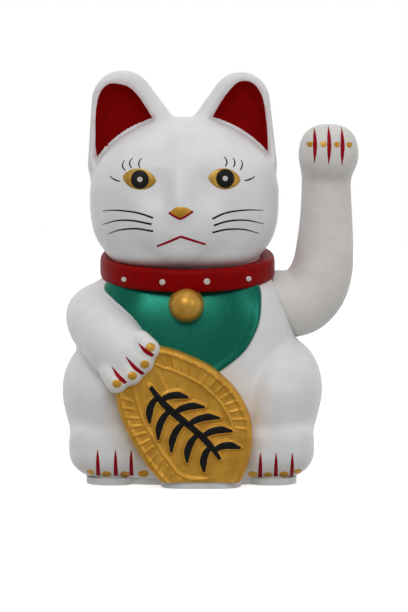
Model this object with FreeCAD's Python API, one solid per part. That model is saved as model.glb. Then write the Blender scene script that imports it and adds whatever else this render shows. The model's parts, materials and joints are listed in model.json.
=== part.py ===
"""Beckoning cat figurine: a hollow moulded cat whose raised arm is rocked by a magnet pendulum.

Millimetres. +Z is up, the cat faces -Y and its raised arm is on the +X side. The origin is on the
surface the figurine stands on, under the middle of its body.
"""
import FreeCAD
import Part

import math
import os

from FreeCAD import Matrix, Rotation, Vector

os.makedirs("parts", exist_ok=True)

X_AXIS = Vector(1, 0, 0)
Y_AXIS = Vector(0, 1, 0)
Z_AXIS = Vector(0, 0, 1)

# ---------------------------------------------------------------- driving dimensions
WALL = 2.0              # moulded wall of the two body shells
PLATE_TOP = 2.8         # top of the base plate, where the shells begin
PLATE_INSET = 0.7       # the base plate stands this far inside the shells' outline
PIVOT_Z = 73.5          # height of the arm's shaft
SHAFT_R = 1.5
RUN_CLEARANCE = 0.05    # radial, shaft in bush
ARM_R = 14.4            # round shoulder of the raised arm
ARM_WALL = 1.6
HUB_FLANGE_R = 13.4     # the hub's flange closes the arm's open end
HUB_FLANGE_T = 3.0
POCKET_R = 15.1         # round socket in the shells that the shoulder turns in
POCKET_X = 33.5         # floor of that socket
ARM_X = 34.3            # inner end of the raised arm
STEM_R = 4.0            # hub stem through the socket floor
STEM_HOLE_R = 4.8
BOSS_WEB = 17.2         # the base screws' posts are tied to the side walls by webs this long
SCREW_R = 1.25
SCREW_CLEAR_R = 1.6     # hole that a screw passes through freely
SCREW_HEAD_R = 2.7
SCREW_HEAD_T = 1.6
SCREW_SEAT_Z = 1.9      # the base screws' heads sit up inside the plate
POST_R = 3.6            # screw posts inside the shells
POST_TOP = 17.0
SHELL_REACH = 36.0      # posts are drawn out to here and trimmed to the shells
PIN_R = 1.5             # joint pins of the front shell
PIN_HOLE_R = 1.6
PIN_BOSS_R = 3.2
PIN_L = 4.0
LEG_R = 0.25            # wire legs of the small components
LEG_PITCH = 1.27
RESISTOR_HALF_L = 3.2
RESISTOR_SPAN = 4.6     # half the distance between a resistor's legs
BOARD_X = (-20.0, 30.0)
BOARD_Y = (-28.0, 7.0)
BOBBIN_H = 9.5
BOBBIN_FLANGE_T = 1.2
BOBBIN_CORE_R = 4.2
BUSH_R = 3.5
BUSH_FLANGE_R = 4.6
CHEEK_R = 7.0           # round noses of the bracket
LEVER_HUB_R = 4.6
MAGNET_R = 6.0
MAGNET_LOW, MAGNET_HIGH = 24.0, 29.0
NUB_L = 1.2             # the cell's positive nub
CONTACT_T = 0.4
SPRING_R = 3.4
SPRING_WIRE_R = 0.35
SPRING_PITCH = 1.1
DOOR_LOW = 0.2          # the battery door, set in from the underside
DOOR_HIGH = 1.6
CELL_R = 7.1            # AA cell
CELL_L = 49.2           # length without its positive nub
CELL_Y = 18.0
CELL_Z = 10.2
BOX_WALL = 1.5
BOX_HALF_X = 29.0       # inside of the battery box
BOX_HALF_Y = 7.8
BOX_TOP = 18.0
COIL_X = 5.0            # the coil and the pendulum share this plane
COIL_R = 8.2
BOARD_Z = 6.0
BOARD_T = 1.4
LIP_TOP = 5.0           # the plate's lip stands inside the shells
LEAD_X = 27.5           # the battery box's wires leave it here
SWITCH_Y = -11.0
SWITCH_SLOT_X = (-14.0, -8.0)
LEVER_TILT = 1.48       # degrees the pendulum leans back to balance the forward paw

# Levels of the lofted bodies: z, centre x, centre y, half width, half depth, squareness.
TORSO = [
    (2.8, 1.2, 2.0, 44.0, 34.5, 2.7),
    (8.0, 1.0, 2.0, 46.5, 36.0, 2.7),
    (20.0, 0.8, 2.0, 47.0, 37.0, 2.5),
    (38.0, 0.3, 1.0, 46.5, 36.8, 2.4),
    (55.0, 0.0, 0.5, 45.0, 35.0, 2.3),
    (73.0, -0.3, 0.5, 40.6, 32.0, 2.3),
    (86.0, -1.2, 0.5, 35.8, 28.5, 2.3),
    (98.0, -2.0, -1.0, 31.5, 26.0, 2.2),
]
HEAD = [
    (86.5, -3.3, -6.0, 26.0, 24.0, 2.3),
    (90.5, -3.3, -6.5, 31.0, 27.8, 2.4),
    (96.0, -3.3, -6.0, 35.0, 31.0, 2.5),
    (104.0, -3.3, -5.0, 38.2, 33.4, 2.5),
    (113.0, -3.3, -4.3, 39.8, 34.8, 2.5),
    (122.0, -3.3, -4.0, 39.9, 35.0, 2.5),
    (131.0, -3.3, -4.0, 38.6, 34.0, 2.4),
    (138.5, -3.3, -4.0, 35.0, 31.2, 2.3),
    (144.5, -3.3, -4.0, 28.6, 26.0, 2.2),
    (148.5, -3.3, -4.0, 20.4, 19.0, 2.1),
    (151.0, -3.3, -4.0, 11.0, 10.5, 2.0),
]
LEFT_EAR = [
    (127.0, -23.5, 0.0, 10.5, 6.0, 2.2),
    (134.5, -26.4, 0.0, 15.4, 8.0, 2.2),
    (143.2, -25.6, 0.0, 17.2, 7.6, 2.2),
    (153.2, -26.0, 0.0, 17.0, 6.8, 2.2),
    (160.2, -27.4, 0.0, 14.8, 5.9, 2.2),
    (165.7, -28.4, 0.0, 11.6, 5.3, 2.2),
    (170.0, -28.6, 0.0, 7.8, 4.4, 2.1),
    (172.9, -28.8, 0.0, 3.4, 2.6, 2.0),
    (173.9, -28.9, 0.0, 1.0, 0.9, 2.0),
]
RIGHT_EAR = [
    (127.0, 15.4, 0.0, 10.0, 6.0, 2.2),
    (134.5, 18.4, 0.0, 15.2, 8.0, 2.2),
    (143.2, 17.6, 0.0, 16.2, 7.6, 2.2),
    (153.2, 18.1, 0.0, 16.4, 6.8, 2.2),
    (160.2, 19.2, 0.0, 14.4, 5.9, 2.2),
    (165.7, 20.5, 0.0, 11.2, 5.3, 2.2),
    (170.0, 21.3, 0.0, 7.4, 4.4, 2.1),
    (172.7, 21.4, 0.0, 3.3, 2.6, 2.0),
    (173.7, 21.4, 0.0, 1.0, 0.9, 2.0),
]
FOOT = [
    (2.8, 0.0, 0.0, 11.4, 15.6, 2.6),
    (5.0, 0.0, 0.0, 14.4, 17.6, 2.7),
    (10.0, 0.0, 0.0, 17.4, 19.5, 2.8),
    (16.0, 0.0, 0.0, 17.7, 19.6, 2.7),
    (21.0, 0.0, 0.0, 16.8, 18.4, 2.5),
    (24.0, 0.0, 0.0, 13.6, 15.0, 2.3),
]
FOOT_PLACES = [(-33.2, -18.0), (33.4, -18.0)]

# Limbs along a path: centre, radius seen from the front, radius in depth.
RESTING_ARM = [
    (Vector(-41.8, -4.0, 69.0), 11.4, 12.0),
    (Vector(-39.4, -14.0, 66.0), 12.6, 12.4),
    (Vector(-34.5, -27.0, 61.0), 13.0, 11.6),
    (Vector(-28.5, -36.0, 56.2), 12.8, 11.0),
    (Vector(-24.5, -40.0, 52.8), 12.0, 9.6),
    (Vector(-22.2, -41.6, 51.0), 9.6, 7.0),
    (Vector(-21.4, -42.1, 50.4), 6.0, 4.0),
]
RAISED_ARM = [
    (Vector(ARM_X, 0, PIVOT_Z), ARM_R, ARM_R),
    (Vector(41.0, 0, PIVOT_Z), ARM_R, ARM_R),
    (Vector(47.0, 0, PIVOT_Z + 1.6), 14.3, 14.0),
    (Vector(52.8, 0, PIVOT_Z + 6.6), 14.0, 13.2),
    (Vector(56.0, 0, PIVOT_Z + 14.0), 13.3, 12.4),
    (Vector(56.8, 0, PIVOT_Z + 23.0), 12.4, 11.6),
    (Vector(57.1, 0, PIVOT_Z + 36.0), 11.1, 10.4),
    (Vector(57.2, -0.6, PIVOT_Z + 51.0), 10.4, 9.8),
    (Vector(57.4, -2.0, PIVOT_Z + 58.5), 11.3, 10.4),
    (Vector(57.7, -3.4, PIVOT_Z + 64.0), 12.4, 11.4),
    (Vector(57.9, -4.4, PIVOT_Z + 69.0), 12.6, 11.6),
    (Vector(57.9, -4.8, PIVOT_Z + 73.2), 10.8, 10.0),
    (Vector(57.9, -4.9, PIVOT_Z + 76.2), 7.2, 6.8),
    (Vector(57.9, -4.9, PIVOT_Z + 77.6), 3.0, 2.8),
]
TAIL = [
    (Vector(20.0, 33.0, 10.0), 6.5, 6.5),
    (Vector(11.0, 38.5, 10.5), 6.8, 6.4),
    (Vector(1.0, 40.0, 13.5), 6.8, 6.2),
    (Vector(-5.0, 39.5, 21.0), 6.6, 6.0),
    (Vector(-5.5, 38.5, 29.5), 6.2, 5.6),
    (Vector(-1.5, 37.5, 36.0), 5.0, 4.6),
    (Vector(1.0, 37.0, 38.5), 2.6, 2.4),
]

SHOULDER = ((-37.0, -3.0, 67.5), (16.2, 20.0, 17.0), 0.0)
THIGHS = [((-39.5, -4.0, 36.5), (15.6, 33.0, 23.5), -6.0), ((39.7, -4.0, 37.0), (15.6, 33.0, 24.5), 6.0)]
COLLAR_CENTRE = Vector(-1.7, -2.0, 90.2)
COLLAR_HALF_W = 37.0
COLLAR_HALF_D = 33.6
COLLAR_H = 9.4
COLLAR_TILT = 9.0
BELL_CENTRE = Vector(-2.0, -36.0, 75.1)
BELL_R = 7.0
BIB_RISE = 1.0
BIB_CENTRE = (-2.0, 83.0)
BIB_HALF = (31.3, 38.0)
KOBAN_CENTRE = Vector(-2.0, 0, 28.5)
KOBAN_HALF = (32.2, 24.0)
KOBAN_TILT = 50.0       # its long axis runs down to the right by this much
KOBAN_FRONT = -46.0
KOBAN_BACK = -26.0
KOBAN_EDGE = 1.5
COIN_PAD = (4.0, -27.0, 17.4, 18.0, 4.0)    # plate under the coin: x, y, half sizes, squareness

JOINT_PINS = [(-3.3, 141.0), (-43.5, 38.0), (44.0, 38.0)]
BASE_SCREWS = [(-33.0, -20.0), (35.0, -20.0), (-34.5, 17.5), (36.5, 17.5)]
BOARD_SCREWS = [(-16.0, -24.5), (26.0, -24.5)]
BRACKET_SCREWS = [(-7.2, 66.0), (14.2, 66.0), (-7.2, 81.0), (14.2, 81.0)]
BRACKET_LOW = 62.0
BRACKET_HIGH = 85.0
CHEEKS_X = [-14.0, 18.0]
CHEEK_T = 3.0
BRACKET_Y = 17.0        # front of the bracket's back plate


# ---------------------------------------------------------------- shape helpers
def oval(centre, u, v, half_u, half_v, squareness, count=20):
    """A closed smooth wire through a superellipse in the plane of u and v."""
    points = []
    for i in range(count):
        a = 2 * math.pi * i / count
        c, s = math.cos(a), math.sin(a)
        along_u = half_u * math.copysign(abs(c) ** (2 / squareness), c)
        along_v = half_v * math.copysign(abs(s) ** (2 / squareness), s)
        points.append(centre + u * along_u + v * along_v)
    curve = Part.BSplineCurve()
    curve.interpolate(points, PeriodicFlag=True)
    return Part.Wire(curve.toShape())


def level_loft(levels, grow=0.0, at=(0.0, 0.0), drop=0.0):
    """A solid through ovals stacked along Z; grow moves its skin out, drop lowers its floor."""
    wires = []
    top = len(levels) - 1
    for i, (z, x, y, half_w, half_d, squareness) in enumerate(levels):
        rise = grow if i == top else (-drop if i == 0 else 0.0)
        width = max(half_w + grow, 0.6)
        depth = max(half_d + grow, 0.5)
        wires.append(oval(Vector(x + at[0], y + at[1], z + rise), X_AXIS, Y_AXIS, width, depth, squareness))
    return Part.makeLoft(wires, True)


def path_loft(stations, grow=0.0):
    """A solid limb through ovals that stand square to its path."""
    wires = []
    last = len(stations) - 1
    for i, (centre, front_r, depth_r) in enumerate(stations):
        ahead = stations[min(i + 1, last)][0] - stations[max(i - 1, 0)][0]
        if i == 0:
            ahead = stations[1][0] - stations[0][0]
        ahead.normalize()
        across = ahead.cross(Y_AXIS)
        across.normalize()
        deep = across.cross(ahead)
        pull = ahead * grow if i == last else Vector()
        half_w = max(front_r + grow, 0.6)
        half_d = max(depth_r + grow, 0.5)
        wires.append(oval(centre + pull, across, deep, half_w, half_d, 2.0, 16))
    return Part.makeLoft(wires, True)


def ellipsoid(centre, radii, lean, grow=0.0):
    """An ellipsoid leaning sideways, about Y, by lean degrees."""
    scale = Matrix()
    scale.scale(radii[0] + grow, radii[1] + grow, radii[2] + grow)
    solid = Part.makeSphere(1).transformGeometry(scale)
    solid.rotate(Vector(), Y_AXIS, lean)
    solid.translate(Vector(*centre))
    return solid


def box(x0, x1, y0, y1, z0, z1):
    return Part.makeBox(x1 - x0, y1 - y0, z1 - z0, Vector(x0, y0, z0))


def rod(radius, start, end):
    """A cylinder from start to end."""
    line = end - start
    return Part.makeCylinder(radius, line.Length, start, line)


def tube(outer_r, inner_r, start, end):
    return rod(outer_r, start, end).cut(rod(inner_r, start, end))


def fused(solids):
    """The union, made one solid at a time."""
    whole = solids[0]
    for solid in solids[1:]:
        whole = whole.fuse(solid)
    return whole


def save(name, shape):
    """Writes one sub-part; its solids stay separate inside the file."""
    solids = shape.Solids
    assert solids and all(s.isValid() for s in solids), name
    whole = solids[0] if len(solids) == 1 else Part.makeCompound(solids)
    whole.exportStep(f"parts/{name}.step")
    print(f"{name:26s} {len(solids):2d} solid {sum(s.Volume for s in solids):11.1f} mm3")
    return whole


# ---------------------------------------------------------------- outer form of the cat
def collar(grow=0.0):
    half = COLLAR_H / 2 + grow
    ring = []
    for height, inset in ((-half, 1.6), (-half * 0.7, 0.3), (0.0, 0.0), (half * 0.7, 0.3), (half, 1.6)):
        wide, deep = COLLAR_HALF_W - inset + grow, COLLAR_HALF_D - inset + grow
        ring.append(oval(Vector(0, 0, height), X_AXIS, Y_AXIS, wide, deep, 2.15))
    band = Part.makeLoft(ring, True)
    band.rotate(Vector(), X_AXIS, COLLAR_TILT)
    band.translate(COLLAR_CENTRE)
    return band


def bib():
    """The chest panel: the torso grown outwards, kept inside a tall oval seen from the front."""
    x, z = BIB_CENTRE
    window = Part.Face(oval(Vector(x, -60, z), X_AXIS, Z_AXIS, *BIB_HALF, 2.2))
    chest = level_loft(TORSO, BIB_RISE)
    return chest.common(window.extrude(Vector(0, 60, 0)))


def koban():
    """The big oval coin, its front edge eased, standing on the shells' lower edge."""
    turn = Rotation(Y_AXIS, KOBAN_TILT)
    u, v = turn.multVec(X_AXIS), turn.multVec(Z_AXIS)
    back = KOBAN_CENTRE + Y_AXIS * KOBAN_BACK
    face = Part.Face(oval(back, u, v, *KOBAN_HALF, 2.05, 28))
    plate = face.extrude(Y_AXIS * (KOBAN_FRONT - KOBAN_BACK))
    rim = [edge for edge in plate.Edges if edge.BoundBox.YMax < KOBAN_FRONT + 1]
    return plate.makeChamfer(KOBAN_EDGE, rim).cut(box(-60, 60, -70, 0, -30, PLATE_TOP))


def ear_recess(levels):
    """The hollow front of an ear: the ear's own form, shrunk and moved forwards."""
    shrunk = []
    for z, x, y, half_w, half_d, squareness in levels[2:-2]:
        shrunk.append((z - 2.0, x, y - 7.6, max(half_w - 4.2, 1.5), max(half_d - 0.6, 1.5), squareness))
    return level_loft(shrunk)


def feet(grow=0.0, drop=0.0):
    return [level_loft(FOOT, grow, at=place, drop=drop) for place in FOOT_PLACES]


def socket(grow=0.0):
    """The space that the raised arm's round shoulder turns in."""
    return rod(POCKET_R + grow, Vector(POCKET_X - grow, 0, PIVOT_Z), Vector(80, 0, PIVOT_Z))


def outer_form():
    ears = []
    for levels in (LEFT_EAR, RIGHT_EAR):
        ears.append(level_loft(levels).cut(ear_recess(levels)))
    lobes = [ellipsoid(*thigh) for thigh in THIGHS] + [ellipsoid(*SHOULDER)]
    body = [level_loft(TORSO), koban()] + feet() + [path_loft(RESTING_ARM)] + lobes
    trim = [collar(), Part.makeSphere(BELL_R, BELL_CENTRE)]
    return fused(body + [bib(), level_loft(HEAD)] + ears + trim + [path_loft(TAIL)]).cut(socket())


def inner_form():
    """The cavity: the large forms again, one wall smaller, running out through the open bottom."""
    lobes = [ellipsoid(*SHOULDER, -WALL)] + [ellipsoid(*thigh, -WALL) for thigh in THIGHS]
    cavity = [level_loft(TORSO, -WALL, drop=2.0), level_loft(HEAD, -WALL)]
    cavity.append(path_loft(RESTING_ARM[:5], -WALL))
    cavity += lobes + feet(-WALL, drop=2.0)
    return fused(cavity).cut(socket(WALL))


def footprint(inset, low, high, with_coin=True):
    """A slab with the outline of the shells' lower edge, brought in by inset."""
    ovals = [TORSO[0][1:]]
    for at_x, at_y in FOOT_PLACES:
        ovals.append((at_x, at_y) + FOOT[0][3:])
    if with_coin:
        ovals.append(COIN_PAD)
    slabs = []
    for x, y, half_w, half_d, squareness in ovals:
        centre = Vector(x, y, low)
        outline = oval(centre, X_AXIS, Y_AXIS, half_w - inset, half_d - inset, squareness)
        slabs.append(Part.Face(outline).extrude(Z_AXIS * (high - low)))
    return fused(slabs)


# ---------------------------------------------------------------- the two body shells
def boss(x, y, low, high):
    """A screw post standing over the base plate, with a web that ties it to the side wall."""
    side = math.copysign(1.0, x)
    reach = x + side * BOSS_WEB
    web = box(min(x, reach), max(x, reach), y - 1.0, y + 1.0, low, high)
    return fused([rod(POST_R, Vector(x, y, low), Vector(x, y, high)), web])


def make_shells():
    outer = outer_form()
    hollow = outer.cut(inner_form())
    hollow = hollow.cut(rod(STEM_HOLE_R, Vector(20, 0, PIVOT_Z), Vector(40, 0, PIVOT_Z)))
    halves = {"front_shell": box(-90, 90, -90, 0, 0, 200), "rear_shell": box(-90, 90, 0, 90, 0, 200)}
    for name, space in halves.items():
        front = name == "front_shell"
        sign = -1.0 if front else 1.0
        posts = [boss(x, y, PLATE_TOP, POST_TOP) for x, y in BASE_SCREWS if (y < 0) == front]
        for x, z in JOINT_PINS:
            posts.append(rod(PIN_BOSS_R, Vector(x, 0, z), Vector(x, sign * SHELL_REACH, z)))
        if not front:
            for x, z in BRACKET_SCREWS:
                posts.append(rod(POST_R, Vector(x, BRACKET_Y + 3.0, z), Vector(x, SHELL_REACH, z)))
        posts = fused(posts).common(outer)
        half = hollow.common(space).fuse(posts)
        for x, y in BASE_SCREWS:
            half = half.cut(rod(SCREW_R, Vector(x, y, PLATE_TOP - 1), Vector(x, y, 14.0)))
        if front:
            pins = [rod(PIN_R, Vector(x, -PIN_L, z), Vector(x, PIN_L, z)) for x, z in JOINT_PINS]
            half = half.fuse(fused(pins))
        else:
            for x, z in JOINT_PINS:
                half = half.cut(rod(PIN_HOLE_R, Vector(x, -1.0, z), Vector(x, PIN_L + 0.6, z)))
            for x, z in BRACKET_SCREWS:
                half = half.cut(rod(SCREW_R, Vector(x, BRACKET_Y, z), Vector(x, BRACKET_Y + 11.0, z)))
        save(name, max(half.Solids, key=lambda s: s.Volume))


# ---------------------------------------------------------------- base plate and battery box
def screw(tip, head_seat, shank_r=SCREW_R):
    """A pan-head screw whose head sits at head_seat and whose shank runs to tip."""
    out = head_seat - tip
    out.normalize()
    head = rod(SCREW_HEAD_R, head_seat, head_seat + out * SCREW_HEAD_T)
    cross = Rotation(X_AXIS, out)
    slots = []
    for width, depth in ((3.0, 0.6), (0.6, 3.0)):
        slot = Part.makeBox(1.0, width, depth, Vector(-0.4, -width / 2, -depth / 2))
        slot.Placement = FreeCAD.Placement(head_seat + out * SCREW_HEAD_T - out * 0.4, cross)
        slots.append(slot)
    return head.cut(fused(slots)).fuse(rod(shank_r, tip, head_seat))


def make_base():
    plate = footprint(PLATE_INSET, 0.0, PLATE_TOP)
    lip = footprint(WALL + 0.4, PLATE_TOP, LIP_TOP, False)
    lip = lip.cut(footprint(WALL + 1.8, PLATE_TOP, LIP_TOP, False))
    half_x, half_y = BOX_HALF_X + BOX_WALL, BOX_HALF_Y + BOX_WALL
    battery_box = box(-half_x, half_x, CELL_Y - half_y, CELL_Y + half_y, 0, BOX_TOP + BOX_WALL)
    stands = [rod(3.0, Vector(x, y, 0), Vector(x, y, BOARD_Z)) for x, y in BOARD_SCREWS]
    plate = fused([plate, lip, battery_box] + stands)
    inside = box(-BOX_HALF_X, BOX_HALF_X, CELL_Y - BOX_HALF_Y, CELL_Y + BOX_HALF_Y, -1, BOX_TOP)
    # The cover's track: a slot to the rear edge, grooved along both sides.
    track = box(-BOX_HALF_X, BOX_HALF_X, CELL_Y, 60, -1, DOOR_HIGH + 0.2)
    groove = box(-BOX_HALF_X - 1.2, BOX_HALF_X + 1.2, CELL_Y - BOX_HALF_Y, 60, 0.7, DOOR_HIGH)
    plate = plate.cut(inside).cut(track).cut(groove)
    for x, y in BASE_SCREWS:
        outward = x + math.copysign(20.0, x)
        plate = plate.cut(rod(SCREW_CLEAR_R, Vector(x, y, -1), Vector(x, y, LIP_TOP)))
        plate = plate.cut(rod(SCREW_HEAD_R + 0.3, Vector(x, y, -1), Vector(x, y, SCREW_SEAT_Z)))
        plate = plate.cut(rod(4.0, Vector(x, y, PLATE_TOP), Vector(x, y, LIP_TOP)))
        plate = plate.cut(box(min(x, outward), max(x, outward), y - 1.4, y + 1.4, PLATE_TOP, LIP_TOP))
    for x, y in BOARD_SCREWS:
        plate = plate.cut(rod(SCREW_R, Vector(x, y, 1.6), Vector(x, y, BOARD_Z)))
    plate = plate.cut(box(*SWITCH_SLOT_X, SWITCH_Y - 1.3, SWITCH_Y + 1.3, -1, PLATE_TOP))
    lead_slots = []
    for side in (-1, 1):
        x = side * LEAD_X
        lead_slots.append(box(x - 1, x + 1, CELL_Y - half_y - 1, CELL_Y - BOX_HALF_Y, 14.0, 16.0))
    plate = plate.cut(fused(lead_slots))
    save("base_plate", max(plate.Solids, key=lambda s: s.Volume))


def make_battery_door():
    """The cover slides out of the rear edge; shallow grooves across it give the thumb a grip."""
    front, rear = CELL_Y - BOX_HALF_Y + 0.2, 60.0
    half = BOX_HALF_X - 0.2
    cover = box(-half, half, front, rear, DOOR_LOW, DOOR_HIGH)
    tongues = box(-half - 0.9, half + 0.9, front, rear, 0.9, DOOR_HIGH - 0.2)
    door = cover.fuse(tongues).common(footprint(PLATE_INSET, 0.0, PLATE_TOP))
    for i in range(5):
        y = 27.0 + 1.8 * i
        door = door.cut(box(-7.0, 7.0, y, y + 0.9, 0, DOOR_LOW + 0.4))
    save("battery_door", door)


def make_battery():
    start = Vector(-CELL_L / 2 + 1.4, CELL_Y, CELL_Z)
    end = start + X_AXIS * CELL_L
    can = rod(CELL_R, start, end)
    can = can.makeFillet(0.6, [can.Edges[0], can.Edges[2]])
    save("battery_cell", can.fuse(rod(2.7, end, end + X_AXIS * NUB_L)))

    plus_x = end.x + NUB_L
    contact_top = 16.5
    plate = box(plus_x, plus_x + CONTACT_T, CELL_Y - 4.0, CELL_Y + 4.0, 6.0, contact_top)
    back = box(plus_x, BOX_HALF_X, CELL_Y - 4.0, CELL_Y + 4.0, contact_top - CONTACT_T, contact_top)
    save("positive_contact", plate.fuse(back))

    flat_x = -BOX_HALF_X + CONTACT_T
    flat = box(-BOX_HALF_X, flat_x, CELL_Y - 5.0, CELL_Y + 5.0, 4.5, contact_top)
    helix = Part.makeHelix(SPRING_PITCH, start.x - flat_x - 2 * SPRING_WIRE_R, SPRING_R)
    profile = Part.Wire(Part.makeCircle(SPRING_WIRE_R, Vector(SPRING_R, 0, 0), Y_AXIS))
    spring = Part.Wire(helix.Edges).makePipeShell([profile], True, True)
    spring.rotate(Vector(), Y_AXIS, 90)
    spring.translate(Vector(flat_x + 0.3, CELL_Y, CELL_Z))
    save("negative_spring", spring.fuse(flat))


# ---------------------------------------------------------------- drive: board, coil and wiring
def make_board():
    board = box(*BOARD_X, *BOARD_Y, BOARD_Z, BOARD_Z + BOARD_T)
    for x, y in BOARD_SCREWS:
        board = board.cut(rod(SCREW_CLEAR_R, Vector(x, y, 0), Vector(x, y, 20)))
    save("circuit_board", board)

    top = BOARD_Z + BOARD_T
    low, high = Vector(COIL_X, 0, top), Vector(COIL_X, 0, top + BOBBIN_H)
    flange = Z_AXIS * BOBBIN_FLANGE_T
    flanges = [rod(COIL_R, low, low + flange), rod(COIL_R, high - flange, high)]
    spool = fused([rod(BOBBIN_CORE_R, low, high)] + flanges)
    save("coil_bobbin", spool.cut(rod(2.6, low, high)))
    save("coil_winding", tube(COIL_R - 0.7, BOBBIN_CORE_R, low + flange, high - flange))

    x, y = -10.0, -18.0
    body = rod(2.3, Vector(x, y, top + 3), Vector(x, y, top + 7.6))
    body = body.cut(box(x - 3, x + 3, y + 1.4, y + 5, 0, 30))
    legs_x = (x - LEG_PITCH, x, x + LEG_PITCH)
    legs = [rod(LEG_R, Vector(leg_x, y, top), Vector(leg_x, y, top + 3)) for leg_x in legs_x]
    save("transistor", fused([body] + legs))

    x, y = 18.0, -18.0
    can = rod(2.5, Vector(x, y, top + 0.6), Vector(x, y, top + 8.0))
    can = can.makeFillet(0.5, [can.Edges[0]])
    legs = [rod(LEG_R, Vector(x + s, y, top), Vector(x + s, y, top + 0.6)) for s in (-1, 1)]
    save("capacitor", fused([can] + legs))

    resistors = []
    for y in (-24.0, -19.5):
        middle = Vector(3, y, top + 1.6)
        half = X_AXIS * RESISTOR_HALF_L
        tail = X_AXIS * (RESISTOR_SPAN + 0.2)
        barrel = rod(1.1, middle - half, middle + half)
        wires = [rod(LEG_R, middle + half * s, middle + tail * s) for s in (-1, 1)]
        ends_x = [middle.x - RESISTOR_SPAN, middle.x + RESISTOR_SPAN]
        feet_down = [rod(LEG_R, Vector(x, y, middle.z), Vector(x, y, top)) for x in ends_x]
        resistors.append(fused([barrel] + wires + feet_down))
    save("resistors", Part.makeCompound(resistors))

    screws = [screw(Vector(x, y, 2.2), Vector(x, y, top)) for x, y in BOARD_SCREWS]
    save("board_screws", Part.makeCompound(screws))


def lead(points, radius=0.6):
    """An insulated wire: straight runs joined by tangent arcs."""
    edges = []
    start = points[0]
    for before, corner, after in zip(points, points[1:], points[2:]):
        back, ahead = before - corner, after - corner
        run = min(back.Length, ahead.Length)
        back.normalize()
        ahead.normalize()
        reach = 0.45 * run
        first, second = corner + back * reach, corner + ahead * reach
        half_turn = (math.pi - back.getAngle(ahead)) / 2
        bend_r = reach / math.tan(half_turn)
        middle_line = back + ahead
        middle_line.normalize()
        to_middle = math.sqrt(bend_r ** 2 + reach ** 2) - bend_r
        edges.append(Part.LineSegment(start, first).toShape())
        edges.append(Part.Arc(first, corner + middle_line * to_middle, second).toShape())
        start = second
    edges.append(Part.LineSegment(start, points[-1]).toShape())
    path = Part.Wire(edges)
    heading = points[1] - points[0]
    profile = Part.Wire(Part.makeCircle(radius, points[0], heading))
    return path.makePipeShell([profile], True, True)


def make_leads():
    top = BOARD_Z + BOARD_T
    box_front = CELL_Y - BOX_HALF_Y - BOX_WALL
    positive = [
        Vector(LEAD_X, box_front + BOX_WALL + 0.4, 15.0),
        Vector(LEAD_X, box_front - 3.0, 15.0),
        Vector(28.0, box_front - 8.0, 13.0),
        Vector(27.0, 0.0, 9.6),
        Vector(26.0, -4.0, top + 0.6),
    ]
    negative = [
        Vector(-LEAD_X, box_front + BOX_WALL + 0.4, 15.0),
        Vector(-LEAD_X, box_front - 3.0, 15.0),
        Vector(-27.0, box_front - 8.0, 13.0),
        Vector(-22.0, -1.0, 9.8),
        Vector(-17.0, -4.0, top + 0.6),
    ]
    save("positive_lead", lead(positive))
    save("negative_lead", lead(negative))


def make_switch():
    """A slide switch under the board; its knob stands in the plate's slot, at its off end."""
    low = PLATE_TOP
    channel = (SWITCH_SLOT_X[0] + 0.4, SWITCH_SLOT_X[1] - 0.4)
    body = box(-15.5, -6.5, SWITCH_Y - 2.5, SWITCH_Y + 2.5, low, BOARD_Z)
    save("switch_body", body.cut(box(*channel, SWITCH_Y - 1.1, SWITCH_Y + 1.1, low, low + 1.6)))
    knob = box(channel[0] + 0.3, channel[0] + 2.7, SWITCH_Y - 0.9, SWITCH_Y + 0.9, 0.5, low + 1.4)
    save("switch_knob", knob)


# ---------------------------------------------------------------- arm, shaft and pendulum
def on_pivot(radius, start, end):
    """A cylinder on the arm's shaft line."""
    return rod(radius, Vector(start, 0, PIVOT_Z), Vector(end, 0, PIVOT_Z))


def make_bracket():
    back = box(CHEEKS_X[0], CHEEKS_X[1] + CHEEK_T, BRACKET_Y, BRACKET_Y + 3.0, BRACKET_LOW, BRACKET_HIGH)
    cheeks = []
    for x in CHEEKS_X:
        cheeks.append(on_pivot(CHEEK_R, x, x + CHEEK_T))
        cheeks.append(box(x, x + CHEEK_T, 0, BRACKET_Y + 1, PIVOT_Z - CHEEK_R, PIVOT_Z + CHEEK_R))
    bracket = fused([back] + cheeks)
    for x in CHEEKS_X:
        bracket = bracket.cut(on_pivot(BUSH_R, x - 1, x + CHEEK_T + 1))
    for x, z in BRACKET_SCREWS:
        bracket = bracket.cut(rod(SCREW_CLEAR_R, Vector(x, BRACKET_Y - 1, z), Vector(x, BRACKET_Y + 4, z)))
    save("pivot_bracket", bracket)
    screws = [screw(Vector(x, BRACKET_Y + 10.5, z), Vector(x, BRACKET_Y, z)) for x, z in BRACKET_SCREWS]
    save("bracket_screws", Part.makeCompound(screws))
    for name, x, flange in (("left_bush", CHEEKS_X[0], -1), ("right_bush", CHEEKS_X[1], 1)):
        edge = x if flange < 0 else x + CHEEK_T
        bush = on_pivot(BUSH_R, x, x + CHEEK_T).fuse(on_pivot(BUSH_FLANGE_R, edge, edge + flange))
        save(name, bush.cut(on_pivot(SHAFT_R + RUN_CLEARANCE, x - 3, x + 8)))


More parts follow.
